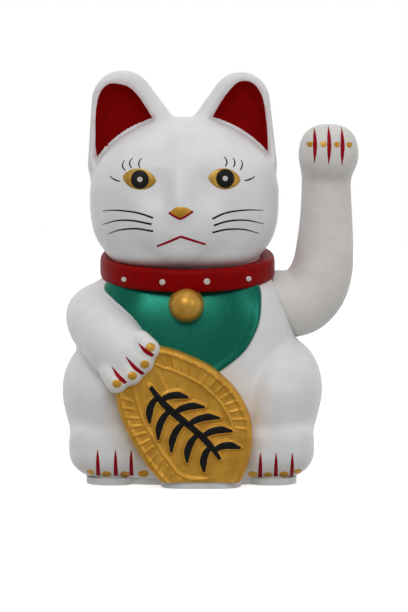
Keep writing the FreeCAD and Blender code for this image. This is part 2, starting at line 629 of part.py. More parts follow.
def make_arm():
    inner = RAISED_ARM[:-2] + [(RAISED_ARM[-2][0] - Z_AXIS * 1.0, 5.0, 4.4)]
    arm = path_loft(RAISED_ARM).cut(path_loft(inner, -ARM_WALL))
    arm = arm.cut(on_pivot(HUB_FLANGE_R, ARM_X - 1, ARM_X + HUB_FLANGE_T))
    save("raised_arm", max(arm.Solids, key=lambda s: s.Volume))

    flange = on_pivot(HUB_FLANGE_R, ARM_X, ARM_X + HUB_FLANGE_T)
    stem = on_pivot(STEM_R, ARM_X - 7.0, ARM_X)
    hub = flange.fuse(stem).cut(on_pivot(SHAFT_R, ARM_X - 8.0, ARM_X + 2.0))
    save("arm_hub", hub)

    save("pivot_shaft", on_pivot(SHAFT_R, CHEEKS_X[0] - 5.0, ARM_X + 2.0))
    collar_x = CHEEKS_X[0] - 1.4
    stop = on_pivot(3.4, collar_x - 3.0, collar_x)
    save("shaft_collar", stop.cut(on_pivot(SHAFT_R, collar_x - 3.0, collar_x)))


def make_pendulum():
    """The lever hangs from the shaft with a steel weight and, lowest of all, the magnet."""
    pivot = Vector(COIL_X, 0, PIVOT_Z)
    hub = on_pivot(LEVER_HUB_R, COIL_X - 5, COIL_X + 5)
    bar = box(COIL_X - 1.6, COIL_X + 1.6, -4.0, 4.0, 38.0, PIVOT_Z)
    cup = box(COIL_X - 9, COIL_X + 9, -7.5, 7.5, MAGNET_LOW, 39.5)
    cup = cup.makeFillet(2.5, [e for e in cup.Edges if e.BoundBox.ZLength > 10])
    lever = fused([hub, bar, cup]).cut(on_pivot(SHAFT_R, COIL_X - 6, COIL_X + 6))
    magnet = rod(MAGNET_R, Vector(COIL_X, 0, MAGNET_LOW), Vector(COIL_X, 0, MAGNET_HIGH))
    weight = box(COIL_X - 7.5, COIL_X + 7.5, -7.5, 5.5, 30.5, 38.0)
    lever = lever.cut(magnet).cut(weight)
    hung = (("pendulum_lever", lever), ("pendulum_magnet", magnet), ("pendulum_weight", weight))
    for name, shape in hung:
        shape.rotate(pivot, X_AXIS, LEVER_TILT)
        save(name, shape)


def make_base_screws():
    screws = [screw(Vector(x, y, 13.5), Vector(x, y, SCREW_SEAT_Z)) for x, y in BASE_SCREWS]
    save("base_screws", Part.makeCompound(screws))


make_shells()
make_base()
make_base_screws()
make_battery_door()
make_battery()
make_board()
make_leads()
make_switch()
make_bracket()
make_arm()
make_pendulum()
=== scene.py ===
"""Looks of the beckoning cat figurine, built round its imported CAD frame.

Shapes are worked out in millimetres, +Z up, the cat facing -Y, and written to meshes in metres.
"""
import json
import math

import bmesh
import bpy
import numpy as np
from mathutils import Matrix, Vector
from mathutils.bvhtree import BVHTree


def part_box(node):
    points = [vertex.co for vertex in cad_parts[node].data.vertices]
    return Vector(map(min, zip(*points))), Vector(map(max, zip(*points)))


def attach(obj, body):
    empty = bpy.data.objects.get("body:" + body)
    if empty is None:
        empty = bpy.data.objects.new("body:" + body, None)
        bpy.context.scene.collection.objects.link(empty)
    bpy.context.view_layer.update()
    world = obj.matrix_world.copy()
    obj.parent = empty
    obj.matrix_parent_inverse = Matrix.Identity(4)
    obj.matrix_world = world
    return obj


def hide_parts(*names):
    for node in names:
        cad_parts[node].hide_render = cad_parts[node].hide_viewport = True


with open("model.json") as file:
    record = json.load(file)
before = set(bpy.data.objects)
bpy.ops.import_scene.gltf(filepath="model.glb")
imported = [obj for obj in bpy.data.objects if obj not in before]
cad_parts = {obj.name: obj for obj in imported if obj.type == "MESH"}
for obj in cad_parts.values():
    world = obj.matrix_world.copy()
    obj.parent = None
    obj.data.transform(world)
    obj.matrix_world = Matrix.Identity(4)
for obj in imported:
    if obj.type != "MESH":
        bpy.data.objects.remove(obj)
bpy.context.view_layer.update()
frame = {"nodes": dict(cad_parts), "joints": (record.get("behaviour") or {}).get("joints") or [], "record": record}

MM = 0.001
FAR = 50.0

# ---------------------------------------------------------------- dimensions, in millimetres
def joint_point(name):
    """Where a joint of the frame sits."""
    joint = next(j for j in frame["joints"] if j["name"] == name)
    return np.array(joint["pos_m"]) / MM


PIVOT = joint_point("arm_swing")
FLOOR_OF_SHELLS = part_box("front_shell")[0].z / MM
ARM_INNER_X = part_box("raised_arm")[0].x / MM
SOCKET_FLOOR_X = ARM_INNER_X - 0.8
HUB_R = (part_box("arm_hub")[1].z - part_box("arm_hub")[0].z) / MM / 2
HUB_DEPTH = 3.0
SOCKET_R = 15.1
WALL = 2.0
ARM_WALL = 1.6
SEAM = 0.07            # half the gap between the two moulded halves
PITCH = 0.85           # of the grid that the body's skin is found on
CORE_PITCH = 1.7       # of the grid for the inner skin
ARM_PITCH = 0.7
GRID = ((-62, -56, -8), (62, 52, 182))            # corners that hold the body
BEYOND = 80.0          # past the body's side, where cuts may end
STEM_HOLE_R = 4.8

# Levels of the body: z, centre x, centre y, half width, half depth, squareness.
TORSO = np.array([
    (0.0, 1.2, 2.0, 41.0, 33.0, 2.7),
    (2.8, 1.2, 2.0, 44.0, 34.5, 2.7),
    (8.0, 1.0, 2.0, 46.5, 36.0, 2.7),
    (20.0, 0.8, 2.0, 47.0, 37.0, 2.5),
    (38.0, 0.3, 1.0, 46.5, 36.8, 2.4),
    (55.0, 0.0, 0.5, 45.0, 35.0, 2.5),
    (73.0, -0.3, 0.5, 40.4, 32.0, 2.9),
    (86.0, -1.2, 0.5, 35.2, 28.5, 2.6),
    (98.0, -2.0, -1.0, 28.0, 24.0, 2.2),
])
HEAD_CENTRE = (-3.0, -4.0, 120.7)
HEAD_HALF = (39.8, 35.0)
HEAD_UP, HEAD_DOWN = (32.0, 1.95), (33.0, 3.0)     # half height and roundness above and below the centre
FACE_X = -4.0
JAW = ((-3.3, -9.0, 101.0), (31.0, 27.0, 11.5))

# Ears from the front: corners of the triangle that the outline is rounded from, and how far it stands out.
EARS = [
    ([(-29.0, 159.3), (-30.6, 133.0), (-11.4, 135.6)], 13.1),
    ([(20.8, 159.4), (23.8, 133.0), (3.6, 135.6)], 12.3),
]
EAR_LININGS = [
    [(-32.8, 166.9), (-26.9, 165.6), (-22.7, 161.9), (-19.0, 156.5), (-14.6, 149.0), (-13.5, 145.0),
     (-24.0, 142.0), (-33.0, 136.5), (-38.3, 133.0), (-40.4, 139.0), (-40.5, 145.0), (-40.5, 152.1),
     (-39.7, 159.3), (-38.0, 163.8), (-35.7, 166.1)],
    [(22.2, 167.9), (18.9, 166.8), (14.4, 161.9), (10.5, 155.7), (6.6, 148.0), (6.0, 144.0),
     (17.0, 141.0), (26.0, 136.0), (31.5, 133.0), (32.2, 139.0), (32.1, 145.0), (31.5, 152.1),
     (30.3, 159.9), (28.0, 164.8), (25.4, 167.2)],
]
EAR_FLOOR_Y = -1.2
EAR_THICK = ((135.0, 8.0), (175.0, 4.9))          # half thickness at two heights
EAR_ROUND = 3.4

# Lobes: centre, half sizes, lean about Y in degrees, roundness below, blend.
LOBES = [
    ((-36.6, -3.0, 66.8), (16.0, 20.0, 16.6), 0.0, 2.0, 5.0),
    ((-34.8, -4.0, 34.8), (19.6, 33.0, 24.8), -13.0, 3.0, 2.5),
    ((35.2, -4.0, 35.2), (19.8, 33.0, 25.4), 14.0, 3.0, 2.5),
]
FOOT_HALF = (18.0, 19.8, 12.6)
FOOT_Z = 13.6
FEET = [(-33.2, -18.0), (33.4, -18.0)]
FOOT_BLEND = 3.0

# Limbs: x, y, z, radius seen from the front, radius in depth.
RESTING_ARM = [
    (-41.4, -4.0, 69.2, 11.4, 12.0),
    (-38.6, -15.0, 66.8, 13.0, 12.4),
    (-34.4, -27.0, 61.8, 12.7, 11.8),
    (-29.9, -35.5, 56.6, 12.6, 11.0),
    (-26.3, -39.0, 53.8, 12.2, 9.0),
]
TOES = [(-30.3, 43.8), (-24.4, 47.0), (-19.5, 52.0), (-17.0, 57.6)]
TOE_Y = -45.6
TOE_R = 4.4
TOE_ROOT = 5.0         # how far behind its tip a toe starts
TOE_HEADING = (0.66, -0.75)
TAIL = [
    (20.0, 33.0, 10.0, 6.5, 6.5),
    (11.0, 38.5, 10.5, 6.8, 6.4),
    (1.0, 40.0, 13.5, 6.8, 6.2),
    (-5.0, 39.5, 21.0, 6.6, 6.0),
    (-5.5, 38.5, 29.5, 6.2, 5.6),
    (-1.5, 37.5, 36.0, 5.0, 4.6),
    (1.0, 37.0, 38.0, 4.0, 3.8),
]
# The raised arm from its round shoulder up: x, y, height over the shaft, radius from the front and in depth.
RAISED_ARM = [
    (30.0, 0.0, 0.0, 14.4, 14.4),
    (36.0, 0.0, 0.0, 14.4, 14.4),
    (41.0, 0.0, 0.0, 14.4, 14.4),
    (47.0, 0.0, 1.6, 14.3, 14.0),
    (52.2, 0.0, 6.8, 13.8, 13.2),
    (55.3, 0.0, 14.2, 13.0, 12.4),
    (56.5, 0.0, 23.0, 12.2, 11.6),
    (57.1, 0.0, 36.0, 11.1, 10.4),
    (57.1, -0.6, 51.0, 10.4, 9.8),
    (57.4, -2.0, 58.5, 11.1, 10.4),
    (57.8, -3.4, 61.5, 11.5, 10.8),
]
PAW_CENTRE = (57.9, -4.5, 137.8)
PAW_HALF = (12.3, 11.6, 11.9)
PAW_CLAWS = [(51.5, 148.2, 133.4, 0.2), (57.4, 148.8, 132.8, 0.2), (63.0, 148.2, 132.4, 0.2)]
PAW_DOTS = [(49.6, 141.2), (55.2, 141.2), (60.8, 141.1), (66.1, 141.0)]


# ---------------------------------------------------------------- curves and distance fields
def eased(knots, values, at):
    """Smooth interpolation through values at rising knots."""
    slopes = np.gradient(values, knots)
    i = np.clip(np.searchsorted(knots, at) - 1, 0, len(knots) - 2)
    span = knots[i + 1] - knots[i]
    t = np.clip((at - knots[i]) / span, 0.0, 1.0)
    low = (1 + 2 * t) * (1 - t) ** 2 * values[i] + t * (1 - t) ** 2 * span * slopes[i]
    high = t * t * (3 - 2 * t) * values[i + 1] + t * t * (t - 1) * span * slopes[i + 1]
    return low + high


def spline(points, count, closed=False):
    """count points on a smooth curve through the given ones."""
    p = np.array(points, float)
    n = len(p)
    if closed:
        p = np.vstack([p[-1:], p, p[:2]])
        at = np.arange(count) * n / count
    else:
        p = np.vstack([2 * p[:1] - p[1:2], p, 2 * p[-1:] - p[-2:-1]])
        at = np.linspace(0, n - 1, count)
    i = np.minimum(at.astype(int), n - 1 if closed else n - 2)
    t = (at - i)[:, None]
    a, b, c, d = p[i], p[i + 1], p[i + 2], p[i + 3]
    return 0.5 * (2 * b + (c - a) * t + (2 * a - 5 * b + 4 * c - d) * t * t + (3 * b - a - 3 * c + d) * t ** 3)


def even_steps(points, count, closed=False):
    """count points at even distances along a smooth curve through the given ones."""
    fine = spline(points, 60 * len(points), closed)
    if closed:
        fine = np.vstack([fine, fine[:1]])
    along = np.concatenate([[0], np.cumsum(np.linalg.norm(np.diff(fine, axis=0), axis=1))])
    at = np.linspace(0, along[-1], count + 1)[:-1] if closed else np.linspace(0, along[-1], count)
    return np.stack([np.interp(at, along, fine[:, k]) for k in range(fine.shape[1])], axis=1)


def smooth_min(a, b, reach):
    """The nearer of two distances, eased over reach where they are alike."""
    if reach <= 0:
        return np.minimum(a, b)
    h = np.maximum(reach - np.abs(a - b), 0.0) / reach
    return np.minimum(a, b) - h * h * reach / 4


def smooth_max(a, b, reach):
    return -smooth_min(-a, -b, reach)


def polygon_distance(x, z, corners):
    """Distance to a closed polygon in the plane, negative inside."""
    best = np.full(np.broadcast(x, z).shape, 1e9, np.float32)
    inside = np.zeros(best.shape, bool)
    for (ax, az), (bx, bz) in zip(corners, corners[1:] + corners[:1]):
        ex, ez = bx - ax, bz - az
        t = np.clip(((x - ax) * ex + (z - az) * ez) / (ex * ex + ez * ez), 0, 1)
        best = np.minimum(best, (x - ax - t * ex) ** 2 + (z - az - t * ez) ** 2)
        if ez:
            inside ^= ((z < az) != (z < bz)) & (x < ax + (z - az) * ex / ez)
    return np.where(inside, -1.0, 1.0) * np.sqrt(best)


class Field:
    """Distances on a grid, negative inside the form."""

    def __init__(self, low, high, pitch):
        self.low = np.array(low, float)
        self.pitch = pitch
        self.axes = [np.arange(a, b + pitch, pitch) for a, b in zip(low, high)]
        self.values = np.full([len(a) for a in self.axes], FAR, np.float32)

    def window(self, low, high):
        cuts = []
        for axis, a, b in zip(self.axes, low, high):
            first = int(np.searchsorted(axis, a))
            cuts.append(slice(first, max(int(np.searchsorted(axis, b)), first + 2)))
        x, y, z = (axis[cut].astype(np.float32) for axis, cut in zip(self.axes, cuts))
        return tuple(cuts), x[:, None, None], y[None, :, None], z[None, None, :]

    def add(self, form, blend=0.0):
        """Joins a form: a pair of corners and a function from x, y, z to distance."""
        (low, high), distance = form
        margin = blend + 2 * self.pitch
        cuts, x, y, z = self.window(np.array(low) - margin, np.array(high) + margin)
        self.values[cuts] = smooth_min(self.values[cuts], distance(x, y, z, self.pitch), blend)

    def carve(self, form, blend=0.0):
        (low, high), distance = form
        margin = blend + 2 * self.pitch
        cuts, x, y, z = self.window(np.array(low) - margin, np.array(high) + margin)
        self.values[cuts] = smooth_max(self.values[cuts], -distance(x, y, z, self.pitch), blend)

    def at(self, points):
        """Distances at any points, by trilinear interpolation."""
        p = (np.asarray(points) - self.low) / self.pitch
        top = np.array(self.values.shape) - 1.001
        p = np.clip(p, 0, top)
        i = p.astype(int)
        t = p - i
        total = np.zeros(len(p))
        for corner in np.ndindex(2, 2, 2):
            weight = np.prod(np.where(corner, t, 1 - t), axis=1)
            total += weight * self.values[tuple((i + corner).T)]
        return total

    def slope(self, points):
        """The unit normal of the form's distance at points."""
        step = 0.6 * self.pitch
        parts = []
        for k in range(3):
            shift = np.zeros(3)
            shift[k] = step
            parts.append(self.at(points + shift) - self.at(points - shift))
        normal = np.stack(parts, axis=1)
        return normal / np.maximum(np.linalg.norm(normal, axis=1, keepdims=True), 1e-9)

    def surface(self, level=0.0, rounds=2):
        """Points and quads of the closed skin where the distance is level."""
        v = self.values - level
        cells = np.array(v.shape) - 1
        owners, crossings, quads = [], [], []
        for axis in range(3):
            a = np.take(v, range(v.shape[axis] - 1), axis)
            b = np.take(v, range(1, v.shape[axis]), axis)
            hit = np.argwhere((a < 0) != (b < 0))
            va, vb = a[tuple(hit.T)], b[tuple(hit.T)]
            cross = hit.astype(float)
            cross[:, axis] += va / (va - vb)
            ring = []
            for du, dw in ((0, 0), (-1, 0), (-1, -1), (0, -1)):
                cell = hit.copy()
                cell[:, (axis + 1) % 3] += du
                cell[:, (axis + 2) % 3] += dw
                ring.append(np.ravel_multi_index(tuple(cell.T), tuple(cells)))
                owners.append(ring[-1])
                crossings.append(cross)
            ring = np.stack(ring, axis=1)
            ring[va > 0] = ring[va > 0][:, ::-1]
            quads.append(ring)
        owners = np.concatenate(owners)
        crossings = np.concatenate(crossings)
        ids, place = np.unique(owners, return_inverse=True)
        count = np.bincount(place)
        points = np.stack([np.bincount(place, crossings[:, k]) / count for k in range(3)], axis=1)
        points = self.low + points * self.pitch
        quads = np.searchsorted(ids, np.concatenate(quads))
        for _ in range(rounds):
            points = relaxed(points, quads)
            for _ in range(2):
                points -= (self.at(points) - level)[:, None] * self.slope(points)
        return points, quads


def relaxed(points, quads, share=0.5):
    """Every point moved part of the way to the middle of its neighbours."""
    ends = np.concatenate([quads, np.roll(quads, -1, axis=1)], axis=0)
    starts = np.concatenate([np.roll(quads, -1, axis=1), quads], axis=0)
    ends, starts = ends.ravel(), starts.ravel()
    count = np.bincount(ends, minlength=len(points))
    middle = np.stack([np.bincount(ends, points[starts, k], len(points)) / count for k in range(3)], axis=1)
    return points + share * (middle - points)


# ---------------------------------------------------------------- forms: ((low, high), distance)
def measured(value, pitch):
    """Turns any smooth function that is zero on the skin into a distance."""
    gx, gy, gz = np.gradient(value, pitch)
    return value / np.maximum(np.sqrt(gx * gx + gy * gy + gz * gz), 1e-3)


def column(levels):
    """A stack of superellipses."""
    z_of, fields = levels[:, 0], levels[:, 1:]
    reach = fields[:, 2:4].max(axis=0) + 2.0
    low = (fields[:, 0].min() - reach[0], fields[:, 1].min() - reach[1], z_of[0])
    high = (fields[:, 0].max() + reach[0], fields[:, 1].max() + reach[1], z_of[-1])

    def distance(x, y, z, pitch):
        cx, cy, half_w, half_d, n = (eased(z_of, fields[:, k], z).astype(np.float32) for k in range(5))
        ring = (np.abs((x - cx) / half_w) ** n + np.abs((y - cy) / half_d) ** n) ** (1 / n)
        wall = measured(np.maximum(ring, 0.2) - 1.0, pitch)
        return np.maximum(wall, np.maximum(z - z_of[-1], z_of[0] - z))
    return (low, high), distance


def ovoid(centre, half, lean=0.0, plan=2.0, up=(1.0, 2.0), down=(1.0, 2.0)):
    """A superellipsoid leaning about Y; up and down give its relative height and roundness each way."""
    centre, half = np.array(centre), np.array(half)
    c, s = math.cos(math.radians(lean)), math.sin(math.radians(lean))
    reach = np.array([abs(c) * half[0] + abs(s) * half[2], half[1], abs(s) * half[0] + abs(c) * half[2]])

    def distance(x, y, z, pitch):
        dx, dy, dz = x - centre[0], y - centre[1], z - centre[2]
        u = (c * dx - s * dz) / half[0]
        w = (s * dx + c * dz) / half[2]
        rise, n = (np.where(w > 0, above, below) for above, below in zip(up, down))
        flat = np.abs(u) ** plan + np.abs(dy / half[1]) ** plan
        whole = (flat ** (n / plan) + np.abs(w / rise) ** n) ** (1 / n)
        return measured(np.maximum(whole, 0.2) - 1.0, pitch)
    return (centre - reach, centre + reach), distance


def limb(stations, steps=70):
    """Balls in a row along a smooth path; each may be flatter in depth than seen from the front."""
    row = even_steps(stations, steps)
    size = row[:, 3:4]
    low, high = (row[:, :3] - size).min(axis=0), (row[:, :3] + size).max(axis=0)

    def distance(x, y, z, pitch):
        best = np.full(np.broadcast(x, y, z).shape, FAR, np.float32)
        for cx, cy, cz, front_r, depth_r in row:
            flat = front_r / depth_r
            away = np.sqrt((x - cx) ** 2 + ((y - cy) * flat) ** 2 + (z - cz) ** 2) - front_r
            best = np.minimum(best, away)
        return measured(best, pitch)
    return (low, high), distance


def ear(corners, offset):
    """A rounded triangle, thinner towards its tip."""
    xs, zs = zip(*corners)
    thick = EAR_THICK[0][1]
    low, high = (min(xs) - offset, -thick, min(zs) - offset), (max(xs) + offset, thick, max(zs) + offset)

    def distance(x, y, z, pitch):
        half = np.interp(z, [h for h, _ in EAR_THICK], [t for _, t in EAR_THICK]).astype(np.float32)
        side = polygon_distance(x, z, list(corners)) - offset + EAR_ROUND
        face = np.abs(y) - half + EAR_ROUND
        outside = np.sqrt(np.maximum(side, 0) ** 2 + np.maximum(face, 0) ** 2)
        return outside + np.minimum(np.maximum(side, face), 0) - EAR_ROUND
    return (low, high), distance


def ear_dish(outline):
    """The hollow front of an ear, its walls sloping in to a flat floor."""
    corners = [tuple(p) for p in even_steps(outline, 60, closed=True)]
    xs, zs = zip(*corners)

    def distance(x, y, z, pitch):
        side = polygon_distance(x, z, corners)
        return smooth_max(0.75 * side + 0.66 * (y + 5.2), y - EAR_FLOOR_Y, 2.0)
    return ((min(xs), -14.0, min(zs)), (max(xs), EAR_FLOOR_Y + 1.0, max(zs))), distance


def toe(x, z):
    tip = np.array([x, TOE_Y, z])
    back = np.array([-TOE_HEADING[0], 0.45, -TOE_HEADING[1]]) * TOE_ROOT
    return limb([(*(tip + back), TOE_R * 0.85, TOE_R * 0.85), (*tip, TOE_R, TOE_R)], 14)


# ---------------------------------------------------------------- the cat's skin
def body_core(pitch):
    """The large forms, which the hollow inside follows too."""
    field = Field(*GRID, pitch)
    field.add(column(TORSO))
    for centre, half, lean, roundness, blend in LOBES:
        field.add(ovoid(centre, half, lean, down=(1.0, roundness)), blend)
    field.add(limb(RESTING_ARM), 2.0)
    for x, y in FEET:
        field.add(ovoid((x, y, FOOT_Z), FOOT_HALF, plan=2.8, up=(1.0, 4.0), down=(1.0, 2.2)), FOOT_BLEND)
    (low, high), distance = ovoid(HEAD_CENTRE, (*HEAD_HALF, 1.0), plan=2.45, up=HEAD_UP, down=HEAD_DOWN)
    low[2], high[2] = HEAD_CENTRE[2] - HEAD_DOWN[0], HEAD_CENTRE[2] + HEAD_UP[0]
    head = Field(*GRID, pitch)
    head.add(((low, high), distance))
    head.add(ovoid(*JAW, plan=2.4, down=(1.0, 4.0)), 4.0)
    field.values = smooth_min(field.values, head.values, 1.0)
    return field


def add_face(field):
    """Muzzle, chin, nose bridge and the shallow sockets beside it."""
    field.add(ovoid((FACE_X, -33.0, 107.5), (17.0, 7.6, 10.5)), 6.0)
    field.add(ovoid((FACE_X - 0.5, -33.0, 98.3), (9.4, 5.4, 5.4)), 2.6)
    for side in (-1, 1):
        field.carve(ovoid((FACE_X + side * 14.0, -43.4, 125.5), (12.0, 6.8, 10.0)), 4.5)
    bridge = [(FACE_X, -24.5, 142.0, 5.0, 5.0), (FACE_X, -32.8, 130.0, 4.8, 4.8),
              (FACE_X, -36.6, 119.0, 5.2, 5.2), (FACE_X, -37.2, 114.0, 5.4, 5.4)]
    field.add(limb(bridge, 40), 3.5)


def cat_field():
    field = body_core(PITCH)
    add_face(field)
    ears = Field(*GRID, PITCH)
    for corners, offset in EARS:
        ears.add(ear(corners, offset))
    for outline in EAR_LININGS:
        ears.carve(ear_dish(outline), 1.2)
    field.values = smooth_min(field.values, ears.values, 2.0)
    for x, z in TOES:
        field.add(toe(x, z), 2.4)
    field.add(limb(TAIL), 1.5)
    return field


# ---------------------------------------------------------------- meshes
def piece(name, points, faces, body="figure"):
    """A mesh object from points in millimetres; it rides on its body once finished."""
    mesh = bpy.data.meshes.new(name)
    mesh.from_pydata((np.asarray(points, float) * MM).tolist(), [], [list(map(int, f)) for f in faces])
    made = bpy.data.objects.new(name, mesh)
    bpy.context.scene.collection.objects.link(made)
    made["body_name"] = body
    return made


def combine(target, cutter, operation):
    """Applies a boolean with another mesh, which is used up."""
    change = target.modifiers.new("combine", "BOOLEAN")
    change.operation = operation
    change.object = cutter
    change.solver = "MANIFOLD"
    graph = bpy.context.evaluated_depsgraph_get()
    result = bpy.data.meshes.new_from_object(target.evaluated_get(graph))
    target.modifiers.clear()
    target.data = result
    bpy.data.objects.remove(cutter)


def copy_of(source, name):
    made = bpy.data.objects.new(name, source.data.copy())
    bpy.context.scene.collection.objects.link(made)
    made["body_name"] = source["body_name"]
    return made


def block(low, high):
    """A cutting box."""
    (x0, y0, z0), (x1, y1, z1) = low, high
    points = [(x, y, z) for x in (x0, x1) for y in (y0, y1) for z in (z0, z1)]
    faces = [(0, 1, 3, 2), (4, 6, 7, 5), (0, 4, 5, 1), (2, 3, 7, 6), (0, 2, 6, 4), (1, 5, 7, 3)]
    return piece("cutter", points, faces)


def revolved(name, profile, centre, axis, steps=96, body="figure"):
    """A closed solid turned about axis 0, 1 or 2; profile is (radius, height) pairs, both ends at radius 0."""
    points, faces = [], []
    u, w = (axis + 1) % 3, (axis + 2) % 3
    rings = []
    for radius, height in profile:
        if radius <= 0:
            spot = np.array(centre, float)
            spot[axis] += height
            rings.append([len(points)])
            points.append(spot)
            continue
        ring = []
        for i in range(steps):
            angle = 2 * math.pi * i / steps
            spot = np.array(centre, float)
            spot[axis] += height
            spot[u] += radius * math.cos(angle)
            spot[w] += radius * math.sin(angle)
            ring.append(len(points))
            points.append(spot)
        rings.append(ring)
    for a, b in zip(rings, rings[1:]):
        for i in range(steps):
            j = (i + 1) % steps
            quad = [a[i % len(a)], a[j % len(a)], b[j % len(b)], b[i % len(b)]]
            faces.append([v for k, v in enumerate(quad) if v != quad[k - 1]])
    return piece(name, points, faces, body)


def rod(radius, start, end, centre):
    """A cutting cylinder along X."""
    profile = [(0, start), (radius, start), (radius, end), (0, end)]
    return revolved("cutter", profile, (0.0, centre[1], centre[2]), 0)


def crisp(made, angle=35.0):
    """Smooth shading, except over edges sharper than angle."""
    form = bmesh.new()
    form.from_mesh(made.data)
    bmesh.ops.recalc_face_normals(form, faces=form.faces)
    limit = math.radians(angle)
    for face in form.faces:
        face.smooth = True
    for edge in form.edges:
        edge.smooth = edge.calc_face_angle(0.0) < limit
    form.to_mesh(made.data)
    form.free()
    return made


def shade_by(made, name, values):
    """Stores one number per point for the materials to read."""
    layer = made.data.attributes.new(name, "FLOAT", "POINT")
    layer.data.foreach_set("value", np.asarray(values, np.float32))


def points_of(made):
    flat = np.empty(len(made.data.vertices) * 3)
    made.data.vertices.foreach_get("co", flat)
    return flat.reshape(-1, 3) / MM


def normals_of(made):
    flat = np.empty(len(made.data.vertices) * 3)
    made.data.vertices.foreach_get("normal", flat)
    return flat.reshape(-1, 3)


class Skin:
    """The point of some pieces that is seen from the front at x, z, and the way its surface faces."""

    def __init__(self, pieces, field=None):
        points, faces = [], []
        for made in pieces:
            start = len(points)
            points += points_of(made).tolist()
            faces += [[start + v for v in p.vertices] for p in made.data.polygons]
        self.tree = BVHTree.FromPolygons(points, faces)
        self.field = field

    def __call__(self, x, z):
        hit, normal, _, _ = self.tree.ray_cast(Vector((x, -90.0, z)), Vector((0.0, 1.0, 0.0)))
        if hit is None:
            hit, normal, _, _ = self.tree.find_nearest(Vector((x, -30.0, z)))
        hit = np.array(hit)
        if self.field is not None:
            return hit, self.field.slope(hit[None])[0]
        return hit, np.array(normal) * (-1 if normal.y > 0 else 1)


def panel(name, outline, profile, skin, sink=0.7, body="figure"):
    """A raised patch on a skin: its outline seen from the front, and (share of the way out, height) pairs."""
    outline = np.asarray(outline, float)
    centre = outline.mean(axis=0)
    points, faces, n = [], [], len(outline)
    order = list(reversed(profile)) + [(share, -sink) for share, _ in profile]
    hub, normal = skin(*centre)
    points.append(hub + normal * profile[-1][1])
    for share, height in order:
        for p in outline:
            spot, normal = skin(*(centre + (p - centre) * share))
            points.append(spot + normal * height)
    points.append(hub - normal * sink)
    for i in range(n):
        j = (i + 1) % n
        faces.append((0, 1 + i, 1 + j))
        for ring in range(len(order) - 1):
            a = 1 + ring * n
            faces.append((a + i, a + n + i, a + n + j, a + j))
        last = 1 + (len(order) - 1) * n
        faces.append((last + i, last + n, last + j))
    return crisp(piece(name, points, faces, body), 60.0)


def stroke(name, path, widths, skin, lift=0.09, sink=0.25, steps=48, body="figure"):
    """A painted line on a skin: its path seen from the front and its half widths along it."""
    row = even_steps(path, steps)
    half = np.interp(np.linspace(0, 1, steps), np.linspace(0, 1, len(widths)), widths)
    found = [skin(*p) for p in row]
    spots = np.array([s for s, _ in found])
    normals = np.array([n for _, n in found])
    ahead = np.gradient(spots, axis=0)
    across = np.cross(ahead, normals)
    across /= np.maximum(np.linalg.norm(across, axis=1, keepdims=True), 1e-9)
    section = [(-1.0, -0.3), (-0.86, 0.8), (-0.45, 1.0), (0.45, 1.0), (0.86, 0.8), (1.0, -0.3)]
    points = []
    for spot, normal, side, w in zip(spots, normals, across, half):
        for reach, rise in section:
            points.append(spot + side * reach * w + normal * rise * lift)
        points.append(spot - normal * sink)
    n = len(section) + 1
    faces = [tuple(range(n))[::-1], tuple(range((steps - 1) * n, steps * n))]
    for k in range(steps - 1):
        for i in range(n):
            j = (i + 1) % n
            faces.append((k * n + i, k * n + j, (k + 1) * n + j, (k + 1) * n + i))
    return crisp(piece(name, points, faces, body), 60.0)


def joined(name, parts):
    """Several closed solids as one piece."""
    whole = bmesh.new()
    for part in parts:
        whole.from_mesh(part.data)
    mesh = bpy.data.meshes.new(name)
    whole.to_mesh(mesh)
    whole.free()
    made = bpy.data.objects.new(name, mesh)
    bpy.context.scene.collection.objects.link(made)
    made["body_name"] = parts[0]["body_name"]
    for part in parts:
        bpy.data.objects.remove(part)
    return made


# ---------------------------------------------------------------- the moulded shells
skin_field = cat_field()
whole = piece("whole", *skin_field.surface())
core = piece("core", *body_core(CORE_PITCH).surface(-WALL))
combine(core, rod(SOCKET_R + WALL, SOCKET_FLOOR_X - WALL, BEYOND, PIVOT), "DIFFERENCE")
front_view = Skin([whole], skin_field)
combine(whole, core, "DIFFERENCE")
combine(whole, rod(SOCKET_R, SOCKET_FLOOR_X, BEYOND, PIVOT), "DIFFERENCE")
combine(whole, rod(STEM_HOLE_R, 20.0, 40.0, PIVOT), "DIFFERENCE")
rear_shell = copy_of(whole, "rear_half")
front_shell = copy_of(whole, "front_half")
bpy.data.objects.remove(whole)
combine(front_shell, block((-90, -90, FLOOR_OF_SHELLS), (90, -SEAM, 200)), "INTERSECT")
combine(rear_shell, block((-90, SEAM, FLOOR_OF_SHELLS), (90, 90, 200)), "INTERSECT")


def near_path(points, path, reach):
    """1 on a path of points, falling to 0 at reach."""
    best = np.full(len(points), 1e9)
    for spot in path:
        best = np.minimum(best, np.linalg.norm(points - np.array(spot), axis=1))
    return np.clip(1 - best / reach, 0, 1)


def arm_field():
    field = Field((28, -22, PIVOT[2] - 19), (78, 22, PIVOT[2] + 82), ARM_PITCH)
    field.add(limb([(x, y, PIVOT[2] + h, a, b) for x, y, h, a, b in RAISED_ARM], 150))
    field.add(ovoid(PAW_CENTRE, PAW_HALF, plan=2.2, up=(1.0, 2.4), down=(1.0, 2.0)), 3.0)
    for x in (PAW_CLAWS[1][0], PAW_CLAWS[0][0], PAW_CLAWS[2][0]):
        gap = [(x, -17.6, 133.0, 1.0, 1.0), (x, -17.9, 140.0, 1.5, 1.5), (x, -15.8, 149.0, 1.0, 1.0)]
        field.carve(limb(gap, 30), 1.6)
    x = field.axes[0][:, None, None].astype(np.float32)
    field.values = np.maximum(field.values, ARM_INNER_X - 2.5 - x)
    return field


